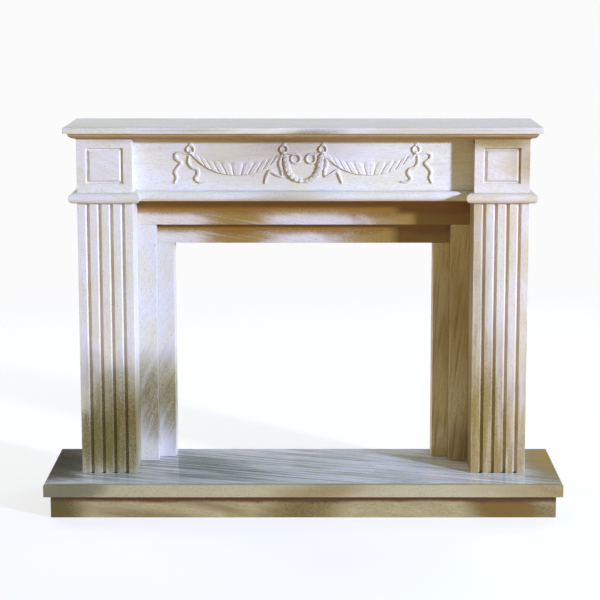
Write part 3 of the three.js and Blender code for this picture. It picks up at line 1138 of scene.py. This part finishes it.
class Relief:
    """Heights of a carving over a grid of places on the stone's face."""

    def __init__(self, across: np.ndarray, up: np.ndarray) -> None:
        """Starts with a flat face.

        Args:
            across: Place of each column, from the middle of the face.
            up: Place of each row, from the middle of the face.
        """
        self.across, self.up = np.meshgrid(across, up)
        self.height = np.zeros_like(self.across)

    def stroke(
        self, path: np.ndarray, half_width: Curve, height: Curve, section: Section, wall: float,
    ) -> None:
        """Raises one line of the carving.

        Args:
            path: Points along its middle, one row each.
            half_width: Half of its width, over the share run along it.
            height: Its full height, over the same share.
            section: Share of its height over the side, from -1 to 1, and the distance run.
            wall: Width of the slope at its edges.
        """
        shares = np.linspace(0, 1, len(path))
        widest = half_width(shares).max()
        low, high = path.min(0) - widest, path.max(0) + widest
        near = (
            (self.across > low[0]) & (self.across < high[0])
            & (self.up > low[1]) & (self.up < high[1])
        )
        right = self.across[near][:, None] - path[None, :, 0]
        above = self.up[near][:, None] - path[None, :, 1]
        closest = (right ** 2 + above ** 2).argmin(1)
        rows = np.arange(len(closest))
        right, above = right[rows, closest], above[rows, closest]
        ahead = np.gradient(path, axis=0)[closest]
        ahead /= np.linalg.norm(ahead, axis=1)[:, None]
        left_of = np.sign(ahead[:, 0] * above - ahead[:, 1] * right)
        away, run = np.hypot(right, above), shares[closest]
        half = half_width(run)
        side = np.clip(left_of * away / half, -1, 1)
        slope = np.clip((half - away) / np.minimum(wall, half), 0, 1)
        slope = slope * slope * (3 - 2 * slope)
        length = np.linalg.norm(np.diff(path, axis=0), axis=1).sum()
        raised = height(run) * section(side, run * length) * slope
        self.height[near] = np.maximum(self.height[near], raised)

    def boss(self, centre: Place, radii: Place, height: float) -> None:
        """Raises a rounded knot.

        Args:
            centre: Its middle.
            radii: Half of its width and of its height on the face.
            height: How far it stands out.
        """
        across, up = (self.across - centre[0]) / radii[0], (self.up - centre[1]) / radii[1]
        away = across ** 2 + up ** 2
        self.height = np.maximum(self.height, height * np.sqrt(np.clip(1 - away, 0, 1)))


def ribbon_section(side: np.ndarray, run: np.ndarray) -> np.ndarray:
    """A ribbon's face: faintly rounded, one and then the other of its rims the higher."""
    flutter = 0.14 * side * np.sin(run / (11 * MM))
    return 0.86 - 0.22 * side ** 2 + flutter


def stem_section(side: np.ndarray, run: np.ndarray) -> np.ndarray:
    """The garland's stem: a round cord whose strands cross it aslant."""
    strands = np.abs(np.sin(np.pi * (run / (9 * MM) + 0.35 * side)))
    return np.sqrt(np.clip(1 - 0.75 * side ** 2, 0, 1)) * (0.84 + 0.16 * strands ** 0.6)


@dataclass
class Carving:
    """Bows, ribbons, garlands and the wreath on the frieze, given for its right half.

    Places are metres across and up from the middle of the face. Angles are in degrees.

    Attributes:
        outer_knot: The bow near the corner block.
        inner_knot: The bow beside the wreath.
        knot_size: Half-width, half-height and height of a knot.
        loop_radius: Radius of the loop that stands over a knot.
        loop_half_width: Half-width of the loop's ribbon.
        ribbon_half_width: Half-width of a hanging ribbon.
        ribbon_tip: Half-width of its tips.
        ribbon_height: How far the ribbons stand out.
        tails: The places that each hanging ribbon passes through.
        wreath: Half-width and drop of the wreath.
        limb: Half-width of a limb at its foot and over most of its length, and its height.
        limb_end: How far a limb's end stands outside the wreath, and under the inner bow.
        limb_leaves: Number of leaves along a limb.
        curl: Centre of the curl in the wreath's mouth, and its radii.
        curl_half_width: Half-width of the curl's ribbon.
        curl_link: How far inside the inner bow the curl's ribbon starts.
        garland_low: Lowest place of the garland's edge.
        garland_fullness: How flat the garland hangs.
        stem: Half-width and height of the garland's stem.
        leaves: Number of leaves on a garland.
        leaf_size: Length and height of the middle leaf.
        leaf_fade: Length over which a leaf's tip sinks into the face.
        leaf_shortening: Share of the length that the end leaves lack.
        leaf_lean: How far a leaf leans, as a share of its rise.
        leaf_parting: How quickly the lean turns over at the middle.
        wall: Width of the slope at the edge of a raised line.
    """

    outer_knot: Place = (358 * MM, 36 * MM)
    inner_knot: Place = (62 * MM, 36 * MM)
    knot_size: Point = (9 * MM, 6.5 * MM, 9.5 * MM)
    loop_radius: float = 11.5 * MM
    loop_half_width: float = 3.3 * MM
    ribbon_half_width: float = 6 * MM
    ribbon_tip: float = 2.5 * MM
    ribbon_height: float = 7 * MM
    tails: tuple[tuple[Place, ...], ...] = (
        (
            (366 * MM, 34 * MM), (386 * MM, 36 * MM), (404 * MM, 32 * MM), (403 * MM, 18 * MM),
            (387 * MM, 4 * MM), (400 * MM, -14 * MM), (407 * MM, -26 * MM), (402 * MM, -42 * MM),
            (408 * MM, -60 * MM),
        ),
        (
            (362 * MM, 26 * MM), (363 * MM, 6 * MM), (352 * MM, -11 * MM), (337 * MM, -17 * MM),
            (333 * MM, -31 * MM), (341 * MM, -46 * MM), (330 * MM, -57 * MM), (309 * MM, -56 * MM),
        ),
        (
            (65 * MM, 30 * MM), (72 * MM, 14 * MM), (74 * MM, -2 * MM), (69 * MM, -20 * MM),
            (68 * MM, -38 * MM),
        ),
        (
            (68 * MM, -41 * MM), (87 * MM, -33 * MM), (106 * MM, -22 * MM), (114 * MM, -33 * MM),
            (118 * MM, -46 * MM), (122 * MM, -61 * MM),
        ),
    )
    wreath: Place = (53 * MM, 54 * MM)
    limb: Point = (8 * MM, 12 * MM, 11.5 * MM)
    limb_end: Place = (4 * MM, 12 * MM)
    limb_leaves: int = 7
    curl: tuple[Place, Place] = ((25 * MM, 17 * MM), (15 * MM, 14 * MM))
    curl_half_width: float = 4.4 * MM
    curl_link: float = 4 * MM
    garland_low: float = -34 * MM
    garland_fullness: float = 2.5
    stem: Place = (2.8 * MM, 5 * MM)
    leaves: int = 13
    leaf_size: Place = (46 * MM, 6.5 * MM)
    leaf_fade: float = 13 * MM
    leaf_shortening: float = 0.45
    leaf_lean: float = 0.6
    leaf_parting: float = 6.0
    wall: float = 2.2 * MM

    def _ribbon(self, relief: Relief, places: Sequence[Place]) -> None:
        """Raises a ribbon that narrows to its tips.

        Args:
            relief: The grid that it is raised on.
            places: The places that it passes through.
        """
        full, tip = self.ribbon_half_width, self.ribbon_tip
        relief.stroke(
            smooth_path(places),
            lambda run: tip + (full - tip) * np.sin(np.pi * np.clip(run, 0, 1)) ** 0.6,
            always(self.ribbon_height), ribbon_section, self.wall,
        )

    def _bow(self, relief: Relief, knot: Place) -> None:
        """Raises a knot and the loop that stands over it.

        Args:
            relief: The grid that they are raised on.
            knot: The middle of the knot.
        """
        radius = self.loop_radius
        # The loop turns most of the way round, from knot to knot.
        loop = arc((knot[0], knot[1] + radius), (radius, radius), (-80, 260), 24)
        relief.stroke(
            smooth_path(loop), always(self.loop_half_width), always(self.ribbon_height),
            ribbon_section, self.wall,
        )
        relief.boss(knot, self.knot_size[:2], self.knot_size[2])

    def _garland_edge(self, span: np.ndarray) -> tuple[np.ndarray, np.ndarray]:
        """Gives places on the garland's lower edge.

        Args:
            span: Shares of the way, from -1 at the inner bow to 1 at the outer one.

        Returns:
            The places across and up.
        """
        middle = (self.inner_knot[0] + self.outer_knot[0]) / 2
        reach = (self.outer_knot[0] - self.inner_knot[0]) / 2
        rise = self.inner_knot[1] - self.garland_low
        up = self.garland_low + rise * np.abs(span) ** self.garland_fullness
        return middle + reach * span, up

    def _spans(self, across: np.ndarray, up: np.ndarray) -> np.ndarray:
        """Finds where on the lower edge the leaf starts that passes through each place.

        Args:
            across: Places across the face.
            up: Places up the face.

        Returns:
            The spans of the leaves' roots.
        """
        # The roots that are tried run a little past both bows.
        spans = np.linspace(-1.04, 1.04, 417)
        edge_across, edge_up = self._garland_edge(spans)
        lean = self.leaf_lean * np.tanh(self.leaf_parting * spans)
        reached = edge_across + lean * np.maximum(up[:, None] - edge_up, 0)
        after = np.clip((reached < across[:, None]).sum(1), 1, len(spans) - 1)
        rows = np.arange(len(after))
        low, high = reached[rows, after - 1], reached[rows, after]
        share = np.clip((across - low) / (high - low), 0, 1)
        return spans[after - 1] + share * (spans[after] - spans[after - 1])

    def _leaves(self, relief: Relief) -> None:
        """Raises the leaves that stand on the garland's edge and lean away from its middle.

        Args:
            relief: The grid that they are raised on.
        """
        highest = self.inner_knot[1] + self.leaf_size[0] / 2
        near = (
            (relief.across > self.inner_knot[0]) & (relief.across < self.outer_knot[0])
            & (relief.up > self.garland_low) & (relief.up < highest)
        )
        span = self._spans(relief.across[near], relief.up[near])
        length, height = self.leaf_size
        length = length * (1 - self.leaf_shortening * span * span)
        above = relief.up[near] - self._garland_edge(span)[1]
        run = np.clip(above / length, 0, 1.2)
        side = 2 * ((np.abs(span) * self.leaves / 2 + 0.5) % 1.0) - 1
        # A leaf ends in a blunt point.
        tip = np.clip((1 - 0.24 * side ** 2 - run) * length / self.leaf_fade, 0, 1)
        # It is full and steep at its sides, and a fine groove runs up its middle.
        groove = 0.12 * np.exp(-(side / 0.13) ** 2)
        lobe = np.sqrt(np.clip(1 - 0.92 * np.abs(side) ** 3.4, 0, 1)) - groove
        # It sinks back towards its tip.
        raised = height * lobe * (1 - 0.75 * run) * tip * tip * (3 - 2 * tip) * (above > 0)
        relief.height[near] = np.maximum(relief.height[near], raised)

    def _garland(self, relief: Relief) -> None:
        """Raises the garland between the two bows.

        Args:
            relief: The grid that it is raised on.
        """
        self._leaves(relief)
        edge = np.stack(self._garland_edge(np.linspace(-1, 1, 21)), axis=1)
        relief.stroke(
            smooth_path(edge), always(self.stem[0]), always(self.stem[1]), stem_section,
            self.wall,
        )

    def _wreath(self, relief: Relief) -> None:
        """Raises the wreath's limb and the curl in its mouth.

        Args:
            relief: The grid that they are raised on.
        """
        quarter = arc((0, 0), (1, 1), (-90, 0), 10)
        limb = [(self.wreath[0] * x, self.wreath[1] * y) for x, y in quarter]
        limb.append((self.wreath[0] + self.limb_end[0], self.inner_knot[1] - self.limb_end[1]))
        foot, full, height = self.limb
        path = smooth_path(limb)
        pitch = np.linalg.norm(np.diff(path, axis=0), axis=1).sum() / self.limb_leaves

        def leafy(side: np.ndarray, run: np.ndarray) -> np.ndarray:
            """Shapes a full round, cut into leaves that each rise out from under the last.

            Args:
                side: Places across the limb, from -1 to 1.
                run: Distances along it.

            Returns:
                Shares of its height.
            """
            leaf = (run / pitch + 0.6 * np.abs(side)) % 1.0
            return np.sqrt(np.clip(1 - 0.8 * side ** 2, 0, 1)) * (0.55 + 0.45 * leaf ** 0.7)

        def toothed(run: np.ndarray) -> np.ndarray:
            """Widens the limb from its foot to its middle, and along each of its leaves.

            Args:
                run: Shares of the way along it.

            Returns:
                Its half-widths.
            """
            leaf = 0.78 + 0.3 * (run * self.limb_leaves % 1.0)
            return (foot + (full - foot) * np.clip(2 * run, 0, 1)) * leaf

        relief.stroke(path, toothed, always(height), leafy, 1.5 * self.wall)
        tip, wide = self.ribbon_tip, self.curl_half_width
        link = (self.inner_knot[0] - self.curl_link, self.inner_knot[1])
        relief.stroke(
            smooth_path([link, *arc(*self.curl, (75, 395), 12)]),
            lambda run: tip + (wide - tip) * np.clip(4 * run, 0, 1),
            always(self.ribbon_height), ribbon_section, self.wall,
        )

    def raise_on(self, relief: Relief) -> None:
        """Raises the whole right half of the carving.

        Args:
            relief: The grid that it is raised on.
        """
        self._garland(relief)
        self._wreath(relief)
        for places in self.tails:
            self._ribbon(relief, places)
        for knot in (self.outer_knot, self.inner_knot):
            self._bow(relief, knot)


@dataclass
class Frieze:
    """The carved beam between the corner blocks, with its lower half-round band.

    Attributes:
        setback: How far its carved face lies behind the fronts of the uprights.
        band_height: Height of the band.
        band_edge: How far the band's half-round starts in front of the carved face.
        band_end: How far the capitals' noses stand out, which the band's ends are scribed to.
        thickness: Thickness of the carved slab.
        cell: Width of a cell of the carved mesh.
        coarse: Width of a cell where the face is plain.
        carved: Half-width of the carved part, and its lowest and highest place.
        quirk: Height and depth of the narrow groove over the band, and height of its slope.
    """

    setback: float = 57 * MM
    band_height: float = 32 * MM
    band_edge: float = 12 * MM
    band_end: float = 25.8 * MM
    thickness: float = 45 * MM
    cell: float = 1.15 * MM
    coarse: float = 7 * MM
    carved: Point = (414 * MM, -66 * MM, 60 * MM)
    quirk: Point = (2.2 * MM, 2.5 * MM, 0.5 * MM)

    def _columns(self, half: float) -> np.ndarray:
        """Gives the columns of the right half, fine over the carving and coarse beside it.

        Args:
            half: Half of the face's width.

        Returns:
            The places of the columns, from the middle.
        """
        edge = self.carved[0]
        fine = np.linspace(0, edge, round(edge / self.cell) + 1)
        rest = half - edge
        return np.concatenate([fine, np.linspace(edge, half, round(rest / self.coarse) + 1)[1:]])

    def _rows(self, low: float, high: float) -> np.ndarray:
        """Gives the rows from the quirk to the top of the face.

        Args:
            low: Foot of the face, measured from its middle.
            high: Its top, measured likewise.

        Returns:
            The places of the rows, from the bottom up.
        """
        _, below, above = self.carved
        quirk = low + self.quirk[0]
        plain = quirk + self.quirk[2]
        return np.concatenate([
            [low, quirk, plain],
            np.linspace(plain, below, 3)[1:],
            np.linspace(below, above, round((above - below) / self.cell) + 1)[1:],
            np.linspace(above, high, 4)[1:],
        ])

    def _face(self, stone: Stone, half: float, face: float, base: float, top: float) -> None:
        """Adds the carved slab between the corner blocks.

        Args:
            stone: The stone that gets it.
            half: Half of its width.
            face: Distance to its carved face.
            base: Height of its foot.
            top: Height of its top.
        """
        middle = (base + top) / 2
        right = self._columns(half)
        rows = self._rows(base - middle, top - middle)
        relief = Relief(right, rows)
        Carving().raise_on(relief)
        proud = relief.height
        proud[:2] = -self.quirk[1]
        across = np.concatenate([-right[:0:-1], right])
        proud = np.concatenate([proud[:, :0:-1], proud], axis=1)
        columns = len(across)
        start = len(stone.points)
        for level, row in zip(rows, proud):
            z = float(middle + level)
            stone.points.extend((float(x), float(face - out), z) for x, out in zip(across, row))
        for row in range(len(rows) - 1):
            first = start + row * columns
            stone.faces.extend(
                (first + c, first + c + 1, first + c + 1 + columns, first + c + columns)
                for c in range(columns - 1)
            )
        last_row = (len(rows) - 1) * columns
        border = [
            *range(start, start + columns - 1),
            *range(start + columns - 1, start + last_row + columns - 1, columns),
            *range(start + last_row + columns - 1, start + last_row, -1),
            *range(start + last_row, start, -columns),
        ]
        places = [stone.points[number] for number in border]
        back = stone.ring([(x, face + self.thickness, z) for x, _, z in places])
        stone.bridge(border, back)
        stone.faces.append(tuple(back))

    def _band(
        self, stone: Stone, half: float, face: float, base: float, top: float, wall: float,
    ) -> None:
        """Adds the half-round band, its ends scribed to the capitals and its back at the wall.

        Args:
            stone: The stone that gets it.
            half: Half of the distance between the uprights.
            face: Distance to the carved face above it.
            base: Height of its underside.
            top: Height of its top.
            wall: Distance to the wall.
        """
        nose = half_round(self.band_edge, base, top)
        capital = half_round(self.band_end - (top - base) / 2, base, top)
        section = [
            (capital[0][0], wall, base),
            *((end, face - outset, z) for (outset, z), (end, _) in zip(nose, capital)),
            (capital[-1][0], wall, top),
        ]
        stone.loft([[(side * (half - end), y, z) for end, y, z in section] for side in (-1, 1)])

    def build(self) -> Iterator[bpy.types.Object]:
        """Builds the frieze.

        Yields:
            The finished piece.
        """
        whole = Block.of("carved_frieze")
        face = Block.of("left_corner_block").low[1] + self.setback
        stone = Stone("carved_frieze")
        half, wall = whole.high[0], whole.high[1]
        base, top = whole.low[2], whole.high[2]
        self._face(stone, half, face, base + self.band_height, top)
        self._band(stone, half, face, base, base + self.band_height, wall)
        # Faint ochre tints left of its middle: the first along the top of the face under the
        # moulding, the third along the band.
        yield stone.dress(Finish.HONED, Bed(
            lean=1, offset=(0.7, 0.3, 0.4), warmth=0.35, streak_width=20 * MM,
            drifts=(
                DriftOrShade((-0.05, -0.02, 1.18), (0.27, 0.4, 0.085), 0.34, -4),
                DriftOrShade((-0.16, -0.02, 1.11), (0.38, 0.4, 0.12), 0.22, -8),
                DriftOrShade((-0.07, -0.045, 1.00), (0.20, 0.1, 0.03), 0.3, 3),
            ),
        ), CLOUDED_MARBLE)


# Shelf


@dataclass
class Shelf:
    """The polished mantelshelf and the swelling moulding that carries it.

    Attributes:
        fillet: Outset and height of the moulding's fillet.
        projection: How far the moulding stands out under the shelf.
        bed_corner: Rounding of the moulding's upright corners.
        edge_radius: Rounding of the shelf's upper edge.
        arris: Easing of the shelf's lower edge.
        corner: Rounding of the shelf's upright corners.
    """

    fillet: Place = (3.5 * MM, 2.5 * MM)
    projection: float = 24.5 * MM
    bed_corner: float = 0.5 * MM
    edge_radius: float = 6 * MM
    arris: float = 1.5 * MM
    corner: float = 2 * MM

    def _bed_profile(self, bottom: float, top: float) -> list[Place]:
        """Gives the moulding's profile: a fillet, then a swelling quarter up to the shelf.

        Args:
            bottom: Height of its underside.
            top: Height of its top.

        Returns:
            Pairs of outset and height, from the bottom up.
        """
        outset, fillet = self.fillet
        swell, rise = self.projection - outset, top - bottom - fillet
        swelling = [
            (outset + swell * across, top - rise * down)
            for across, down in arc((0, 0), (1, 1), (90, 0), HOLLOW_STEPS)
        ]
        return [(outset, bottom), *swelling]

    def build(self) -> Iterator[bpy.types.Object]:
        """Builds the moulding and the shelf.

        Yields:
            Each finished piece.
        """
        left, right = Block.of("left_corner_block"), Block.of("right_corner_block")
        core = Block(left.low, right.high)
        bed = Block.of("bed_moulding")
        profile = self._bed_profile(bed.low[2], bed.high[2])
        moulding = moulded("bed_moulding", core, bed.high[1], profile, self.bed_corner)
        # A brown length along the middle of the moulding: painted shade that makes its swelling
        # look rounder.
        yield moulding.dress(Finish.HONED, Bed(
            lean=0, offset=(0.5, 0.1, 0.6), warmth=0.6, streak_width=10 * MM,
            drifts=(DriftOrShade((0.1, -0.09, 1.192), (3.0, 0.3, 0.026), 0.6, colour="#9c7428"),),
        ), TAWNY_MARBLE)
        shelf = Block.of("mantelshelf")
        profile = eased_edge(shelf.low[2], shelf.high[2], self.arris, self.edge_radius)
        slab = moulded("mantelshelf", shelf, shelf.high[1], profile, self.corner)
        # A dark length on the front edge at the middle, and fainter ones at both sides of it.
        yield slab.dress(Finish.POLISHED, Bed(
            lean=0.5, offset=(0.2, 0.9, 0.1), warmth=0.35, streak_width=18 * MM,
            drifts=(
                DriftOrShade((0.02, -0.115, 1.212), (0.13, 0.05, 0.02), 0.6, 2),
                DriftOrShade((-0.35, -0.112, 1.222), (0.22, 0.012, 0.01), 0.25),
                DriftOrShade((0.44, -0.112, 1.222), (0.44, 0.012, 0.02), 0.34, colour="#d2ae84"),
            ),
        ))


# Frames round the opening


@dataclass
class OpeningFrames:
    """The two stepped frames round the fire opening, each of two jambs and a lintel.

    Attributes:
        arris: Easing of the stones, which also shows as a fine line at their joints.
    """

    arris: float = 1.2 * MM

    def build(self) -> Iterator[bpy.types.Object]:
        """Builds the jambs and the lintels.

        Yields:
            Each finished piece.
        """
        # The left jambs are olive at the foot, the right ones tan with fine streaks and partly
        # painted shade. The lintels are golden at the right, partly their stone and partly painted
        # shadow of the right upright, and brown along their upper halves, which is painted shadow
        # of the stone above each.
        beds = {
            "left_outer_jamb": Bed(66, (0.1, 0.3, 0.2), 0.25, 13 * MM, (
                DriftOrShade((-0.49, 0.07, 0.33), (0.11, 0.3, 0.20), 0.72, 14, barred=0.3),
                DriftOrShade((-0.50, 0.07, 0.27), (0.08, 0.3, 0.12), 0.3, 14, 0.2, "#6e4c1c"),
            )),
            "left_inner_jamb": Bed(66, (0.5, 0.6, 0.8), 0.25, 13 * MM, (
                DriftOrShade((-0.43, 0.12, 0.31), (0.11, 0.3, 0.19), 0.85, 14, barred=0.3),
            )),
            "right_outer_jamb": Bed(84, (0.9, 0.2, 0.5), 0.6, 7 * MM, (
                DriftOrShade((0.50, 0.07, 0.6), (0.09, 0.3, 0.30), 0.3, barred=0.4),
                DriftOrShade((0.52, 0.07, 0.16), (0.09, 0.3, 0.12), 0.4, barred=0.4),
            )),
            "right_inner_jamb": Bed(86, (0.4, 0.8, 0.1), 0.6, 7 * MM, (
                DriftOrShade((0.45, 0.12, 0.55), (0.09, 0.3, 0.30), 0.3, barred=0.4),
            )),
            "outer_lintel": Bed(-10, (0.6, 0.4, 0.9), 0.3, 9 * MM, (
                DriftOrShade((-0.22, 0.07, 0.93), (0.15, 0.12, 0.09), 1.2, -12, barred=0.5),
                # Golden at the right: partly the stone, partly painted shadow of the right upright.
                DriftOrShade((0.42, 0.07, 0.93), (0.28, 0.15, 0.12), 1.5, barred=0.1),
                # Painted shadow of the band along its top.
                DriftOrShade((0.0, 0.07, 0.975), (3.0, 0.12, 0.052), 1.7, colour="#8f6414"),
            )),
            "inner_lintel": Bed(-10, (0.3, 0.5, 0.3), 0.3, 9 * MM, (
                DriftOrShade((-0.22, 0.12, 0.86), (0.15, 0.08, 0.09), 1.2, -12, barred=0.5),
                # Golden at the right: partly the stone, partly painted shadow of the right upright.
                DriftOrShade((0.36, 0.12, 0.86), (0.28, 0.10, 0.12), 1.5, barred=0.1),
                # Painted shadow of the outer lintel along its top.
                DriftOrShade((0.0, 0.12, 0.905), (3.0, 0.08, 0.047), 1.7, colour="#8f6414"),
            )),
        }
        for node, bed in beds.items():
            marble = MILKY_MARBLE if node.startswith("left") else TAWNY_MARBLE
            if node.endswith("lintel"):
                marble = OCHRE_MARBLE
            yield squared(node, self.arris).dress(Finish.HONED, bed, marble)


# Studio


@dataclass(frozen=True)
class SoftBox:
    """A rectangular studio light.

    Attributes:
        azimuth: Where it stands round the mantel, in degrees to the right of its front.
        elevation: How high it stands, in degrees.
        distance: How far it stands from the point that it is aimed at.
        size: Width and height of its face.
        power: Its power in watts.
        colour: Its colour.
    """

    azimuth: float
    elevation: float
    distance: float
    size: Place
    power: float
    colour: str


@dataclass
class Studio:
    """Plain pale floor, soft lights and the camera.

    Attributes:
        aim: The point that the lights are aimed at.
        lights: The soft boxes.
        floor_radius: Radius of the floor.
        floor_sides: Sides of its rim.
        floor_fade: Shares of the radius where it begins to fade into the background and is gone.
        floor_colour: Its colour.
        floor_glow: Strength of its own white light, which keeps it as pale as the background.
        backdrop: Colour of the background.
        mirrored: Colours of the room that the polished stone mirrors, at heights from -1 (below)
            to 1 (above).
        fill: Colours of the dim light from all round, at such heights.
        sensor: Width of the camera's sensor, in millimetres.
        lens: Its focal length, in millimetres.
        shift: How far the picture is shifted across and up, in widths of the picture.
        stand: Where the camera stands.
        tilt: How far it looks down, in degrees.
    """

    aim: Point = (0.0, 0.0, 0.65)
    lights: tuple[tuple[str, SoftBox], ...] = (
        ("key", SoftBox(53, 13.5, 9.0, (0.6, 0.6), 1420, "#c4d2ff")),
        ("behind_left", SoftBox(-130, 30, 4.5, (2.0, 2.0), 60, "#fff2e0")),
        ("behind_right", SoftBox(140, 25, 4.5, (2.0, 2.0), 60, "#eaf0ff")),
    )
    floor_radius: float = 4.5
    floor_sides: int = 96
    floor_fade: Place = (0.45, 0.95)
    floor_colour: str = "#9a9ea8"
    floor_glow: float = 0.7
    backdrop: str = "#fbfbfc"
    mirrored: tuple[tuple[float, str], ...] = (
        (-1.0, "#c8ccd0"), (0.0, "#e2e4e8"), (0.12, "#dcdfe4"), (0.24, "#50626e"),
        (1.0, "#56646e"),
    )
    fill: tuple[tuple[float, str], ...] = (
        (-0.5, "#a07c3a"), (0.0, "#c8b67c"), (0.4, "#a8a288"), (1.0, "#82929e"),
    )
    sensor: float = 36.0
    lens: float = 106.2
    shift: Place = (-0.0209, -0.12)
    stand: Point = (0.029, -5.599, 1.744)
    tilt: float = 8.58

    def _world(self) -> None:
        """Sets a pale background that lights the stone with a dimmer, warmer fill."""
        world = bpy.data.worlds.new("studio")
        bpy.context.scene.world = world
        world.use_nodes = True
        tree = world.node_tree
        tree.nodes.clear()
        direction = add_node(tree, "ShaderNodeTexCoord").outputs["Generated"]
        parts = add_node(tree, "ShaderNodeSeparateXYZ", {0: direction})
        height = add_node(
            tree, "ShaderNodeMapRange", {"Value": parts.outputs["Z"], **stretch((-1, 1))},
        ).outputs["Result"]
        skies = []
        for sky in (self.fill, self.mirrored):
            ramp = add_node(tree, "ShaderNodeValToRGB", {"Fac": height})
            stops = ramp.color_ramp.elements
            stops.remove(stops[0])
            stops[0].position, stops[0].color = (sky[0][0] + 1) / 2, to_linear(sky[0][1])
            for level, colour in sky[1:]:
                stops.new((level + 1) / 2).color = to_linear(colour)
            skies.append(ramp.outputs["Color"])
        rays = add_node(tree, "ShaderNodeLightPath")
        seen = add_node(
            tree, "ShaderNodeMix", {0: rays.outputs["Is Glossy Ray"], 6: skies[0], 7: skies[1]},
            data_type="RGBA",
        ).outputs[2]
        seen = add_node(
            tree, "ShaderNodeMix",
            {0: rays.outputs["Is Camera Ray"], 6: seen, 7: to_linear(self.backdrop)},
            data_type="RGBA",
        ).outputs[2]
        light = add_node(tree, "ShaderNodeBackground", {"Color": seen, "Strength": 1.0})
        add_node(tree, "ShaderNodeOutputWorld", {"Surface": light.outputs["Background"]})

    def _floor(self) -> None:
        """Lays a round pale floor that fades out towards its rim."""
        mesh = bpy.data.meshes.new("studio_floor")
        disc = bmesh.new()
        bmesh.ops.create_circle(
            disc, cap_ends=True, segments=self.floor_sides, radius=self.floor_radius,
        )
        disc.to_mesh(mesh)
        disc.free()
        floor = bpy.data.objects.new("studio_floor", mesh)
        bpy.context.scene.collection.objects.link(floor)
        material = bpy.data.materials.new("matt_pale_paper")
        material.use_nodes = True
        tree = material.node_tree
        tree.nodes.clear()
        place = add_node(tree, "ShaderNodeTexCoord").outputs["Object"]
        away = add_node(tree, "ShaderNodeVectorMath", {0: place}, operation="LENGTH")
        begins, gone = (share * self.floor_radius for share in self.floor_fade)
        fade = add_node(
            tree, "ShaderNodeMapRange", {"Value": away.outputs["Value"], **stretch((begins, gone))},
            interpolation_type="SMOOTHSTEP",
        )
        paper = add_node(tree, "ShaderNodeBsdfDiffuse", {"Color": to_linear(self.floor_colour)})
        glow = add_node(
            tree, "ShaderNodeEmission",
            {"Color": to_linear("#ffffff"), "Strength": self.floor_glow},
        )
        both = add_node(
            tree, "ShaderNodeAddShader",
            {0: paper.outputs["BSDF"], 1: glow.outputs["Emission"]},
        )
        clear = add_node(tree, "ShaderNodeBsdfTransparent")
        mixed = add_node(
            tree, "ShaderNodeMixShader",
            {0: fade.outputs["Result"], 1: both.outputs["Shader"], 2: clear.outputs["BSDF"]},
        )
        add_node(tree, "ShaderNodeOutputMaterial", {"Surface": mixed.outputs["Shader"]})
        mesh.materials.append(material)
        floor.visible_diffuse = False

    def _light(self, name: str, box: SoftBox) -> None:
        """Stands one soft box up and aims it.

        Args:
            name: Its name.
            box: The soft box.
        """
        lamp = bpy.data.lights.new(f"{name}_light", "AREA")
        lamp.shape = "RECTANGLE"
        lamp.size, lamp.size_y = box.size
        lamp.energy = box.power
        lamp.color = to_linear(box.colour)[:3]
        holder = bpy.data.objects.new(f"{name}_light", lamp)
        azimuth, elevation = math.radians(box.azimuth), math.radians(box.elevation)
        level = math.cos(elevation)
        away = Vector((
            math.sin(azimuth) * level, -math.cos(azimuth) * level, math.sin(elevation),
        ))
        holder.location = Vector(self.aim) + away * box.distance
        holder.rotation_euler = away.to_track_quat("Z", "Y").to_euler()
        holder.visible_camera = False
        bpy.context.scene.collection.objects.link(holder)

    def _camera(self) -> None:
        """Sets up the camera that looks down on the mantel from the front."""
        lens = bpy.data.cameras.new("front_camera")
        lens.sensor_width = self.sensor
        lens.lens = self.lens
        lens.shift_x, lens.shift_y = self.shift
        camera = bpy.data.objects.new("front_camera", lens)
        camera.location = self.stand
        camera.rotation_euler = (math.radians(90 - self.tilt), 0, 0)
        bpy.context.scene.collection.objects.link(camera)
        bpy.context.scene.camera = camera

    def build(self) -> None:
        """Sets up the background, the floor, the lights and the camera."""
        self._world()
        self._floor()
        for name, box in self.lights:
            self._light(name, box)
        self._camera()
        view = bpy.context.scene.view_settings
        view.view_transform = "Standard"
        view.look = "None"


def main() -> None:
    """Builds the studio and every stone, and writes how large the result is."""
    logging.basicConfig(level=logging.INFO, format="%(message)s")
    Studio().build()
    for section in (
        Hearth(), Upright(Hand.LEFT), Upright(Hand.RIGHT), Frieze(), Shelf(), OpeningFrames(),
    ):
        for piece in section.build():
            LOG.info("%s: %d faces", piece.name, len(piece.data.polygons))


if __name__ == "__main__":
    main()
